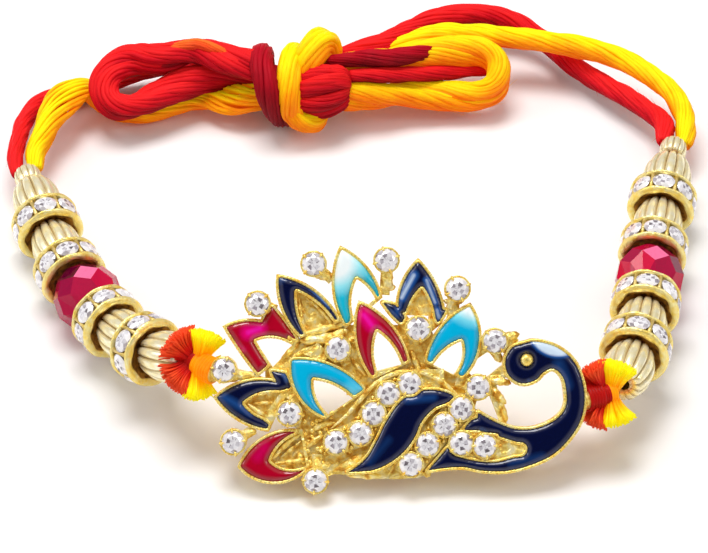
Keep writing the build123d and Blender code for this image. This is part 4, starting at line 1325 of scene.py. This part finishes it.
# %% Enamel
def enamel_finish(name, edge, body, middling, pale):
    finish, tree, shader = new_finish(name)
    # The note pale carries the painted highlights, which go over the middling tone to the pale one
    spot = note(tree, "pale")
    cloud = spread(tree, grain(tree, 1.4, 3), -0.25, 0.25)
    fired = scale_of(tree, added(tree, note(tree, "deep"), cloud), (0.0, edge), (0.75, body))
    first = add_node(tree, "Math", {0: spot, 1: 2.0}, operation="MULTIPLY", use_clamp=True).outputs[0]
    second = add_node(tree, "MapRange", {"Value": spot, "From Min": 0.5, "From Max": 1.0}).outputs["Result"]
    half_highlit = blended(tree, first, fired, (*middling, 1))
    set_shader(
        tree, shader,
        Base_Color=blended(tree, second, half_highlit, (*pale, 1)),
        Roughness=spread(tree, grain(tree, 0.6), 0.03, 0.10),
        Coat_Weight=0.25, Coat_Roughness=0.015, Specular_IOR_Level=0.5,
    )
    raise_grain(tree, shader, grain(tree, 1.0, 1), 0.05, 0.35)
    return finish


# For each pot its colours (edge, body, and the middling and pale tones of the painted highlights) and
# the fields that it fills
ENAMELS = {
    "crimson_enamel": (
        ((0.30, 0, 0.008), (0.44, 0, 0.018), (0.75, 0, 0.17), (1.0, 0.02, 0.62)),
        ["crimson_left", "crimson_lower", "crimson_centre"],
    ),
    "navy_enamel": (
        ((0.001, 0.006, 0.06), (0.001, 0.003, 0.032), (0.015, 0.09, 0.34), (0.62, 0.76, 0.90)),
        ["navy_left", "navy_top_left", "navy_top_right", "wing", "neck"],
    ),
    "turquoise_enamel": (
        ((0, 0.34, 0.60), (0, 0.46, 0.76), (0.20, 0.74, 0.90), (0.85, 0.98, 1.0)),
        ["turquoise_right", "turquoise_centre"],
    ),
    "pale_turquoise_enamel": (
        ((0, 0.40, 0.56), (0.01, 0.52, 0.72), (0.30, 0.80, 0.90), (0.90, 0.99, 1.0)),
        ["turquoise_top"],
    ),
}
enamel_finishes = {}
rim_outlines = []
for slot, (colours, names) in ENAMELS.items():
    enamel_finishes[slot] = enamel_finish(slot, *colours)
    for name in names:
        points, faces, notes, outlines, top = domed_enamel(name)
        make_piece(name + "_glass", points, faces, enamel_finishes[slot], [name + "_enamel"], notes)
        rim_outlines += [(name, outline, top) for outline in outlines]
print("rims to draw:", len(rim_outlines))

# %% [markdown]
# ## Gold rims
# The metal beside the enamel is a fine wire with a beaded grain, which catches light all along its length.
# The solid's rims are flat strips. A wire could be a curve, but it has to follow the enamel exactly, so
# the same outlines are pushed outward by half the wire and wrapped in a tube whose radius ripples.

# %% Rim wires
WIRE_RADIUS, WIRE_STEP, WIRE_SINK = 0.17, 0.14, 0.16  # mm
WIRE_BEAD, WIRE_SWELL = 0.42, 0.022  # the length and height of one bead of the grain, in mm
WIRE_CORNERS, SHORTEST_RIM = 8, 12
lines, radii = [], []
for name, outline, top in rim_outlines:
    ring = evenly_closed(outline, WIRE_STEP)
    run = np.roll(ring, -1, axis=0) - np.roll(ring, 1, axis=0)
    run /= np.linalg.norm(run, axis=1)[:, None] + 1e-9
    pushed = ring + np.column_stack([run[:, 1], -run[:, 0]]) * (WIRE_RADIUS * 0.85)
    pushed = (np.roll(pushed, 1, axis=0) + 2 * pushed + np.roll(pushed, -1, axis=0)) / 4
    if len(pushed) < SHORTEST_RIM:
        continue
    reach = np.arange(len(pushed)) * WIRE_STEP
    lines.append(from_pendant(np.column_stack([pushed, np.full(len(pushed), top - WIRE_SINK)])))
    radii.append((WIRE_RADIUS + WIRE_SWELL * np.sin(reach * 2 * math.pi / WIRE_BEAD)) * MM)
points, faces, *_ = wrap_tubes(lines, radii, WIRE_CORNERS, closed=True)
make_piece("rim_wires", points, faces, bright_gold)

# %% [markdown]
# ## Stones of the peacock
# The same cut stones sit on the tail, along the wing and on the body. Their places are read from the
# photo as percents of the peacock's width and height, because a percent stays right if the size changes.
# Each stone is made along Z and turned to the way the peacock faces.

# %% Peacock stones
STONE_PLACES = {
    "tail_stones": [
        (-38, 76.5), (-23, 92.5), (-3.5, 94), (15.5, 82.5), (-47, 50), (-44.5, 21), (-22.5, 5.5),
        (-16.5, 58.5), (5, 66.5), (-29.5, 32.5), (25.5, 61.5), (21, 43),
    ],
    "wing_stones": [(-17, 21), (-10.5, 24.5), (-7, 32.5), (-3, 40.5), (2.7, 44.5)],
    "body_stones": [(3, 12), (7.5, 20), (12, 28), (16.5, 34.5), (16.5, 20.5), (22.8, 19.5)],
}
CUP_TOP, STONE_SINK, STONE_RADIUS, STONE_CROWN = 2.3, 0.02, 1.25, 0.46  # mm
pendant_turn = Matrix(pendant_axes.tolist()).transposed().to_4x4()


def pendant_seat(across, up, out):
    """The matrix from a thing made along Z in millimetres to a place on the pendant, in percents."""
    where = from_pendant([at_percent(across, up, out)])[0]
    return Matrix.Translation(where) @ pendant_turn @ Matrix.Scale(MM, 4)


for number, (group, spots) in enumerate(STONE_PLACES.items()):
    settings = [(pendant_seat(*spot, CUP_TOP - STONE_SINK), STONE_RADIUS, STONE_CROWN) for spot in spots]
    stones_piece(group + "_cut", settings, [group], seeded("peacock stones", number))

# %% [markdown]
# ## Claws and collars
# Each stone sits in a small cup, and four claws are bent over its edge. The solid has the cups as plain
# rings. Rounded collars and claws go on them, because these small highlights round each stone are what
# makes it read as set, and not glued.

# %% Claws and collars
CLAWS = 4
# A claw from its root to its tip: a distance from the stone's middle, a height and a radius
CLAW_STEPS = np.array([
    (1.42, 1.75, 0.14), (1.42, 2.2, 0.15), (1.33, 2.46, 0.14), (1.18, 2.6, 0.12), (1.02, 2.6, 0.06),
])
COLLAR_RADIUS, COLLAR_THICK, COLLAR_SWELL, COLLAR_SINK = 1.34, 0.11, 0.015, 0.08  # mm
COLLAR_STEPS, COLLAR_GRAINS = 32, 11

draw = seeded("claws and grains")
lines, radii, rings, ring_radii = [], [], [], []
turn = round_angles(COLLAR_STEPS)
round_line = np.column_stack([np.cos(turn), np.sin(turn)]) * COLLAR_RADIUS
collar = np.column_stack([round_line, np.full(len(turn), CUP_TOP - COLLAR_SINK)])
claw_out, claw_up, claw_radii = CLAW_STEPS.T
for spot in (spot for spots in STONE_PLACES.values() for spot in spots):
    seat = pendant_seat(*spot, 0)
    first = draw.uniform(0, 6.3)
    for k in range(CLAWS):
        angle = first + k * math.pi / 2 + draw.uniform(-0.12, 0.12)
        claw = np.column_stack([claw_out * math.cos(angle), claw_out * math.sin(angle), claw_up])
        lines.append(put(claw, seat))
        radii.append(claw_radii * MM)
    rings.append(put(collar, seat))
    ring_radii.append((COLLAR_THICK + COLLAR_SWELL * np.sin(turn * COLLAR_GRAINS + first)) * MM)
claws = wrap_tubes(lines, radii, WIRE_CORNERS)[:2]
collars = wrap_tubes(rings, ring_radii, WIRE_CORNERS, closed=True)[:2]
points, faces = joined(claws, collars)
make_piece("claws_and_collars", points, faces, bright_gold)

# %% [markdown]
# ## Gold grains and the eye
# Between the stones of a row sit little gold grains, and two hollows at the tail's foot are strewn with
# them. A displaced surface could show them, but grains are separate lumps that were melted round, so each
# is a small ball that is never quite round. The peacock's eye is a larger and smoother one.

# %% Gold grains
def grain_ball(radius, squash, draw, rings=5, count=8):
    """A small lump of gold, melted round but never quite. squash makes it flat."""
    points = [
        (
            radius * math.sin(a) * math.cos(b) * draw.uniform(0.93, 1.07),
            radius * math.sin(a) * math.sin(b) * draw.uniform(0.93, 1.07),
            radius * squash * math.cos(a),
        )
        for a in np.linspace(0.25, math.pi - 0.25, rings)
        for b in round_angles(count)
    ]
    faces = [
        (a + k, a + count + k, a + count + (k + 1) % count, a + (k + 1) % count)
        for a in range(0, (rings - 1) * count, count)
        for k in range(count)
    ]
    faces += [tuple(range(count)), tuple((rings - 1) * count + k for k in reversed(range(count)))]
    return points, faces


# Stones closer than this are neighbours, and two grains sit beside the middle between them, in mm
NEIGHBOURS, GRAIN_ASIDE, GRAIN_UP = 3.6, 1.1, 1.86
EYE_RADIUS, EYE_PLACE = 0.66, (34, 54, 2.36)
grains = []
for spots in (STONE_PLACES["wing_stones"], STONE_PLACES["body_stones"]):
    for (a, b), (c, d) in zip(spots, spots[1:]):
        middle = np.array(at_percent((a + c) / 2, (b + d) / 2)[:2])
        run = np.array(at_percent(c - a, d - b)[:2])
        if np.linalg.norm(run) > NEIGHBOURS:
            continue
        side = np.array([-run[1], run[0]]) / np.linalg.norm(run)
        for way in (-GRAIN_ASIDE, GRAIN_ASIDE):
            where = from_pendant([(*(middle + side * way), GRAIN_UP)])[0]
            grains.append((where, draw.uniform(0.2, 0.27), 0.9))
# Each strewn hollow: two corners in percents, how many grains, and a height in mm
GRAINED_FIELDS = [((-27, 34), (-18, 10), 46, 1.12), ((-21, 24), (-13, 16), 14, 1.05)]
for (left, top), (right, low), count, out in GRAINED_FIELDS:
    for _ in range(count):
        spot = (draw.uniform(left, right), draw.uniform(low, top))
        where = from_pendant([at_percent(*spot, out + draw.uniform(0, 0.22))])[0]
        grains.append((where, draw.uniform(0.16, 0.34), 0.7))
shapes = []
for where, radius, squash in grains:
    seat = Matrix.Translation(where) @ pendant_turn @ Matrix.Scale(MM, 4)
    lump, lump_faces = grain_ball(radius, squash, draw)
    shapes.append((put(lump, seat), lump_faces))
points, faces = joined(*shapes)
make_piece("gold_grains", points, faces, bright_gold)

eye, faces = grain_ball(EYE_RADIUS, 0.75, draw, 9, 20)
make_piece("eye", put(eye, pendant_seat(*EYE_PLACE)), faces, bright_gold)

# %% [markdown]
# ## Folded gold of the casting
# The real casting was carved in wax first: folds in the leaf hollows, a crest over the wing, and lumps
# where each stone's arm meets the feathers. The solid keeps these places flat. They could be sculpted, but
# laying tapered wax wires along hand-drawn lines is how such a master is really made, so it is done here.
# A small spilled fleck of navy enamel is a flattened ball beside one stone.

# %% Gold relief
# Each wire: a height above the peacock's back and radii at its start, middle and end, all in mm, and its
# line in percents across and up
WAX_WIRES = [
    (1.1, (0.25, 0.48, 0.35), [(-26, 64), (-21.7, 65.6), (-18.2, 67.3), (-13.8, 69)]),
    (1.15, (0.3, 0.5, 0.4), [(-14.1, 61.8), (-10.9, 62.3), (-7.8, 60.6)]),
    (1.2, (0.45, 0.6, 0.45), [(-27, 62), (-23, 61.8), (-18, 62.9), (-13.7, 66.1)]),
    (1.95, (0.22, 0.3, 0.24), [
        (-18.3, 26.4), (-14.2, 31.7), (-11.5, 36.3), (-8.3, 42.1), (-4.8, 46.4), (-0.4, 49.2), (4.4, 49.6),
        (9.1, 47.5), (13.2, 43.4), (16.2, 38.6),
    ]),
    (1.4, (0.15, 0.32, 0.15), [(-34.4, 13.6), (-31.8, 18), (-28.5, 22.6), (-25.6, 24.8)]),
    (1.4, (0.15, 0.3, 0.15), [(-33.5, 12.6), (-29.8, 12.2), (-24.9, 14.3)]),
    (1.1, (0.1, 0.26, 0.12), [(-32.2, 14.3), (-29.1, 18), (-26.1, 21.6)]),
    (1.35, (0.15, 0.28, 0.15), [(-41, 37.8), (-37.6, 40.7), (-33.7, 41.4)]),
    (1.35, (0.15, 0.28, 0.15), [(-40.6, 36.3), (-37.8, 32.7), (-34.7, 30.9)]),
    (1.1, (0.1, 0.3, 0.15), [(-39.3, 36.6), (-36.9, 36.3), (-34.4, 36.8)]),
    (1.3, (0.12, 0.22, 0.12), [(-27, 79), (-26.6, 71.3), (-25.1, 63.7)]),
    (1.25, (0.12, 0.2, 0.12), [(-25.1, 79), (-21.7, 75.2), (-18.8, 69.8), (-16.9, 65)]),
    (1.2, (0.75, 0.6, 0.35), [(-22.5, 89.8), (-20.3, 87.6), (-18.3, 86.8)]),
    (1.25, (0.75, 0.62, 0.5), [(-3.5, 90.6), (-3.3, 86.6), (-2.9, 82)]),
    (1.1, (0.3, 0.42, 0.3), [(-5.1, 83), (-3.1, 82.5), (-1, 83.5)]),
    (1.2, (0.6, 0.5, 0.35), [(14.5, 80.3), (13.9, 77.2), (13.2, 73.9)]),
    (1.1, (0.25, 0.42, 0.25), [(11.8, 77.9), (14.5, 76.2), (17.6, 78.4)]),
    (1.2, (0.6, 0.45, 0.3), [(-37.1, 75.6), (-35.6, 74.2), (-34, 72.8)]),
    (1.2, (0.55, 0.5, 0.35), [(-45.7, 48.5), (-43, 48), (-38.6, 47.8)]),
    (1.1, (0.3, 0.42, 0.3), [(-48.4, 47.2), (-45.7, 45.7), (-42.7, 46.8)]),
    (1.2, (0.6, 0.48, 0.35), [(-43.3, 22.6), (-41, 24.4), (-38.3, 25.4)]),
    (1.3, (0.65, 0.6, 0.4), [(-22.7, 7.3), (-22.4, 10.9), (-21.3, 14.5)]),
    (1.2, (0.3, 0.55, 0.3), [(-24.7, 10.9), (-21.7, 9.9), (-18.3, 11.9)]),
    (1.25, (0.65, 0.6, 0.35), [(25, 60.7), (25.7, 56.6), (27.2, 52.9)]),
    (1.25, (0.45, 0.55, 0.3), [(27.4, 62.2), (29.9, 63.7), (32.2, 64.4)]),
    (1.35, (0.3, 0.48, 0.3), [(23.7, 45.1), (26.7, 45.9), (29.9, 44.4)]),
    (1.3, (0.35, 0.5, 0.3), [(25, 42.9), (26.4, 38.6), (28.6, 36.3)]),
    (1.2, (0.3, 0.34, 0.25), [(26.7, 37.8), (28.3, 32.7), (28.6, 28.9)]),
    (1.3, (0.3, 0.62, 0.35), [(-18, 8.9), (-13.6, 11.6), (-8.5, 16.5)]),
    (1.2, (0.25, 0.42, 0.2), [(-14.2, 7.6), (-8.8, 7.6), (-3.1, 6.8)]),
    (1.25, (0.3, 0.45, 0.3), [(6.2, 8.9), (7.6, 7.6), (8.5, 8.8)]),
    (1.75, (0.12, 0.22, 0.15), [(-3.3, 7.1), (-0.6, 13.4), (2, 20.3), (5.5, 26.6)]),
    (1.05, (0.12, 0.26, 0.12), [(-13.2, 55.1), (-11.4, 51.5), (-8.7, 47.2)]),
    (1.1, (0.25, 0.4, 0.25), [(3.2, 58.1), (4.4, 52.5), (5.5, 48)]),
    (1.1, (0.2, 0.4, 0.25), [(6.9, 51.5), (9.1, 47.5), (13, 43.4)]),
    (1.1, (0.2, 0.36, 0.2), [(-28.8, 55.1), (-25.1, 58.1), (-20.3, 60.2)]),
    (1.1, (0.15, 0.34, 0.2), [(-31.8, 54.1), (-28.8, 58.1), (-27, 61.2)]),
    (1.1, (0.2, 0.36, 0.2), [(-14.2, 39.9), (-11.5, 42.9), (-8.8, 43.9)]),
    (1.2, (0.2, 0.4, 0.2), [(-23.7, 25.6), (-20.3, 28.2), (-16.9, 28.7)]),
    (1.2, (0.2, 0.4, 0.2), [(-25.4, 18.5), (-23, 21.6), (-20.3, 23.6)]),
    (1.2, (0.2, 0.36, 0.2), [(25.7, 21.6), (29.1, 20), (33.3, 19.3)]),
]
WAX_STEP, WAX_CORNERS = 0.25, 12
lines, radii = [], []
for height, (start, middle, end), spots in WAX_WIRES:
    line = smooth_route(from_pendant([at_percent(*spot, height) for spot in spots]) / MM, WAX_STEP)
    share = np.linspace(0, 1, len(line))
    body = np.interp(share, (0, 0.5, 1), (start, middle, end)) * (1 + 0.08 * np.sin(share * 19 + height * 40))
    rounded = np.sqrt(np.clip(np.minimum(share, 1 - share) * 7 + 0.04, 0, 1))
    lines.append(line)
    radii.append(body * rounded * MM)
points, faces, *_ = wrap_tubes(lines, radii, WAX_CORNERS)
make_piece("gold_relief", points, faces, casting_gold)

# A fleck of navy enamel that spilled beside a stone
FLECK_STRETCH, FLECK_PLACE = (1.15, 0.42, 1.0), (-22.2, 57.7, 1.35)
fleck, faces = grain_ball(1.0, 0.35, seeded("fleck"), 9, 20)
points = put(np.array(fleck) * FLECK_STRETCH, pendant_seat(*FLECK_PLACE))
make_piece("navy_fleck", points, faces, enamel_finishes["navy_enamel"])

# %% [markdown]
# ## Floss knots
# Beside the peacock the string is tied with short ends of satin floss, red and yellow, that fan up and
# down like little brushes. A particle system would do it, but its hairs don't leave with the model. So
# every fibre is a thin tube that leaves the knot together with the others and then spreads, and a fibre
# stops where it would run into the metal.

# %% Floss fibres
FIBRE_RADII = np.array([0.09, 0.11, 0.12, 0.12, 0.115, 0.08])  # mm, from the knot to the tip
FIBRE_SINK, SHORTEST_FIBRE, FIBRE_CORNERS = 0.35, 1.3, 4


def solid_tree(node_name):
    """A search tree that tells where a ray meets a solid part."""
    mesh = solid_nodes[node_name].data
    return BVHTree.FromPolygons([v.co for v in mesh.vertices], [tuple(p.vertices) for p in mesh.polygons])


def sides_of(middle, way):
    """Two directions square to a way that starts at the middle."""
    first, second = side_directions(np.array([middle, middle + way * MM, middle + way * 2 * MM]))
    return Vector(first[0]), Vector(second[0])


def floss_fan(middle, axis, barriers, count, draw, reach, opening):
    """Fibres that leave the middle along an axis and spread into a brush. reach is in millimetres."""
    first, second = sides_of(middle, axis)
    lines, radii = [], []
    for _ in range(count):
        angle, open_share = draw.uniform(0, 6.3), math.sqrt(draw.uniform(0, 1))
        out = first * math.cos(angle) + second * math.sin(angle)
        lean = opening * open_share
        way = (axis * math.cos(lean) + out * math.sin(lean)).normalized()
        start = Vector(middle) + out * (0.75 * open_share * MM)
        length = reach * draw.uniform(0.93, 1.0) * (1 - 0.10 * open_share**2) * MM
        for barrier in barriers:
            hit = barrier.ray_cast(start + way * 0.5 * MM, way, length)[3]
            if hit is not None:
                length = min(length, hit + FIBRE_SINK * MM)
        if length < SHORTEST_FIBRE * MM:
            continue
        share = np.linspace(0, 1, len(FIBRE_RADII))[:, None]
        curl = (first * draw.uniform(-1, 1) + second * draw.uniform(-1, 1)) * (0.22 * MM)
        bend = np.array(axis) * (1 - share**0.8) + np.array(way) * share**0.8
        bend /= np.linalg.norm(bend, axis=1)[:, None]
        lines.append(np.array(start) + bend * share * length + np.array(curl) * share**2)
        radii.append(FIBRE_RADII * MM * draw.uniform(0.8, 1.2))
    return lines, radii


print("points along a fibre:", len(FIBRE_RADII))

# %% [markdown]
# ## Floss fringes
# A knot of floss has brushes that point up and down, and thread wound round its waist. Each colour is one
# piece: its brushes, and its windings as closed rings. A single band would look like a metal ring, so
# there is a ring for each winding. A fibre is darker near the waist, where the others shade it.

# %% Floss
# For each side the pinch in mm, the string's yaw and climb, and for each colour a shift along the string
# and its lobes: an angle on the peacock's face in degrees, half the opening in radians and a reach in mm
FLOSS_KNOTS = {
    "left": ((-17.07, -14.77, 9.91), (-51, -6), {
        "red": (0.325, [(133, 0.60, 3.9), (222, 0.55, 3.9)]),
        "yellow": (-0.325, [(70, 0.45, 3.9), (277, 0.42, 4.1), (335, 0.5, 2.3)]),
    }),
    "right": ((27.39, -17.25, 7.63), (66, -8), {
        "yellow": (0.325, [(74, 0.46, 3.8), (281, 0.48, 3.8)]),
        "red": (-0.325, [(132, 0.60, 3.8), (228, 0.60, 3.8), (180, 0.45, 2.6)]),
    }),
}
FLOSS_FINISH = {"red": red_satin, "yellow": yellow_satin}
# The windings of the colour ahead of the pinch and of the one behind it: shifts along the string in mm
WINDINGS = {True: (-0.3, 0.0, 0.3), False: (-2.1, -1.75, -1.4, -1.05, -0.7, -0.3, 0.0, 0.3)}
WINDING_RADIUS, WAIST, FAR_WAIST, WINDING_STEPS = 0.26, 0.98, 1.25, 28
FIBRE_DENSITY = 1250  # fibres in a lobe, for each square of half its opening in radians
SHADED_REACH = 3.4  # mm from the waist to where a fibre is in full light


def windings(middle, along, ahead):
    """Closed rings round the waist of a floss knot, as points, faces and their lay."""
    turn = round_angles(WINDING_STEPS)
    first, second = sides_of(middle, along)
    around_waist = np.array(first) * np.cos(turn)[:, None] + np.array(second) * np.sin(turn)[:, None]
    rings = []
    for offset in WINDINGS[ahead]:
        wide = WAIST if offset > -0.5 else FAR_WAIST
        rings.append(np.array(middle + along * (offset * MM)) + around_waist * (wide * MM))
    return wrap_tubes(rings, [WINDING_RADIUS * MM] * len(rings), WIRE_CORNERS, closed=True)[:3]


for number, (side, (pinch, (yaw, climb), colours)) in enumerate(FLOSS_KNOTS.items()):
    along = heading(yaw, climb)
    barriers = [solid_tree(part) for part in ("peacock_setting", f"{side}_ribbed_bead_1")]
    for colour, (shift, lobes) in colours.items():
        draw = seeded("floss", number * 2 + (shift > 0))
        middle = Vector(pinch) * MM + along * (shift * MM)
        lines, radii = [], []
        for angle, opening, reach in lobes:
            angle = math.radians(angle)
            axis = pendant_across * math.cos(angle) + pendant_up * math.sin(angle)
            count = int(FIBRE_DENSITY * opening**2)
            fan, fan_radii = floss_fan(middle, axis, barriers, count, draw, reach, opening)
            lines += fan
            radii += fan_radii
        points, faces, lay, owner, _ = wrap_tubes(lines, radii, FIBRE_CORNERS)
        tones = draw.random(len(lines))
        outer = np.clip(np.linalg.norm(points - np.array(middle), axis=1) / MM / SHADED_REACH, 0.0, 1.0)
        more, more_faces, more_lay = windings(middle, along, shift > 0)
        fibre_notes = (("outer", outer, 0.35), ("tone", tones[owner], 0.4), ("lit", outer, 0.35))
        notes = {
            key: np.concatenate([values, np.full(len(more), of_windings)])
            for key, values, of_windings in fibre_notes
        }
        faces += shifted(more_faces, len(points))
        make_piece(
            f"{side}_{colour}_fringe", np.vstack([points, more]), faces, FLOSS_FINISH[colour],
            [f"{side}_{colour}_floss"], notes, np.vstack([lay, more_lay]),
        )

# %% [markdown]
# ## Lines of the bow's knot
# In the knot the yarns lie on each other: a red heart along the bow, short red lobes in front of it, a red
# turn on the left, a broad yellow turn in the middle and a yellow lobe that bulges out at the top right.
# Plain rings read as beads. So each turn is a line of its own round the knot's axis, given by stations,
# and the yellow one leans and flares.

# %% Knot lines
KNOT_BACK, KNOT_UP = 35.3, 5.4  # where the knot's axis runs, in mm


def round_knot(*stations):
    """A smooth line through stations, each x in mm, an angle from the back over the top, and a radius."""
    points = []
    for x, angle, radius in stations:
        turn = math.radians(angle)
        points.append((x, KNOT_BACK + radius * math.cos(turn), KNOT_UP + radius * math.sin(turn)))
    return smooth_route(points)


def full_turn(x_at, radius, start=-80, end=280, step=30):
    """A line once round the knot, and x_at gives its place along the bow for each angle."""
    wider = radius / math.cos(math.radians(step / 2)) ** 0.5
    return round_knot(*[(x_at(angle), angle, wider) for angle in range(start, end + 1, step)])


def hump(angle, middle, width):
    return math.exp(-(((angle - middle) / width) ** 2))


# Where every red lobe starts and ends: places along the bow and distances from the knot's axis, in mm
LOBE_START = ((-7.6, 1.4), (-6.8, 2.4))
LOBE_END = ((-1.5, 2.2), (-1.1, 1.0))


def red_lobe(start, end, high):
    """A short red yarn that comes from under the yellow turn and dives under the loop's root."""
    crest = ((-5.7, high - 0.2), (-4.6, high), (-3.4, high), (-2.4, high - 0.6))
    spots = LOBE_START + crest + LOBE_END
    angles = np.linspace(start, end, len(spots))
    return round_knot(*[(x, angle, radius) for (x, radius), angle in zip(spots, angles)])


red_heart = round_knot(*[(x, 90, 0.3) for x in (-11.6, -9, -6, -3.6, -2)])
red_turn = full_turn(lambda angle: -11.0 + 0.018 * max(0, angle - 100), 3.7)
yellow_turn = full_turn(lambda angle: -7.7 + 1.2 * hump(angle, 15, 40) + 1.7 * hump(angle, 235, 30), 3.8)
puffy_lobe = smooth_route([
    (-6.4, 34.7, 6.8), (-5.8, 35.4, 8.4), (-5.1, 36.4, 9.4), (-4.4, 37.8, 9.6), (-3.7, 39.3, 8.6),
    (-3.2, 39.5, 7), (-3.1, 39.1, 5.8),
])
foot_lobe = smooth_route([
    (-7.6, 31, 5), (-6.8, 30.7, 3.8), (-5.4, 31.1, 3), (-4.2, 31.8, 2.8), (-3.8, 32.8, 3.2),
])
print("the yellow turn is", round(length_of(yellow_turn) / MM, 1), "mm long")

# %% [markdown]
# ## Yarns of the bow's knot
# The same yarn maker as for the cords dresses these lines. They could all be one piece, but the red and
# the yellow have their own finishes, and each stands for another solid of the knot.

# %% Knot
# For each piece a finish, its slot, the solid it replaces, and its yarns with their radii in mm
KNOT_YARNS = {
    "knot_red_heart": (shaded_red_yarn, "red_cord", ["knot_core"], [(red_heart, 2.3)]),
    "knot_red_lobes": (red_yarn, "red_cord", [], [
        (red_lobe(130, 98, 3.0), 1.15), (red_lobe(154, 124, 3.6), 1.25), (red_lobe(180, 160, 3.7), 1.2),
        (red_lobe(214, 192, 3.3), 1.15),
    ]),
    "knot_red_turn": (shaded_red_yarn, "red_cord", ["knot_red_wrap"], [(red_turn, 1.5)]),
    "knot_yellow_turn": (
        yellow_yarn, "yellow_cord", ["knot_yellow_wrap"], [(yellow_turn, 1.45), (foot_lobe, 1.15)],
    ),
    "knot_yellow_lobe": (yellow_yarn, "yellow_cord", ["knot_back_wrap"], [(puffy_lobe, 1.95)]),
}
KNOT_TWIST, KNOT_END, KNOT_TAPER = 34, 0.7, 1.5
for number, (name, (finish, slot, replaced, turns)) in enumerate(KNOT_YARNS.items()):
    draw = seeded("knot", number)
    bundles = [
        (line, narrowed(line, radius * MM, KNOT_END, KNOT_END, KNOT_TAPER), KNOT_TWIST, 1.0)
        for line, radius in turns
    ]
    yarn_piece(name, bundles, finish, replaced, 0.8, draw)
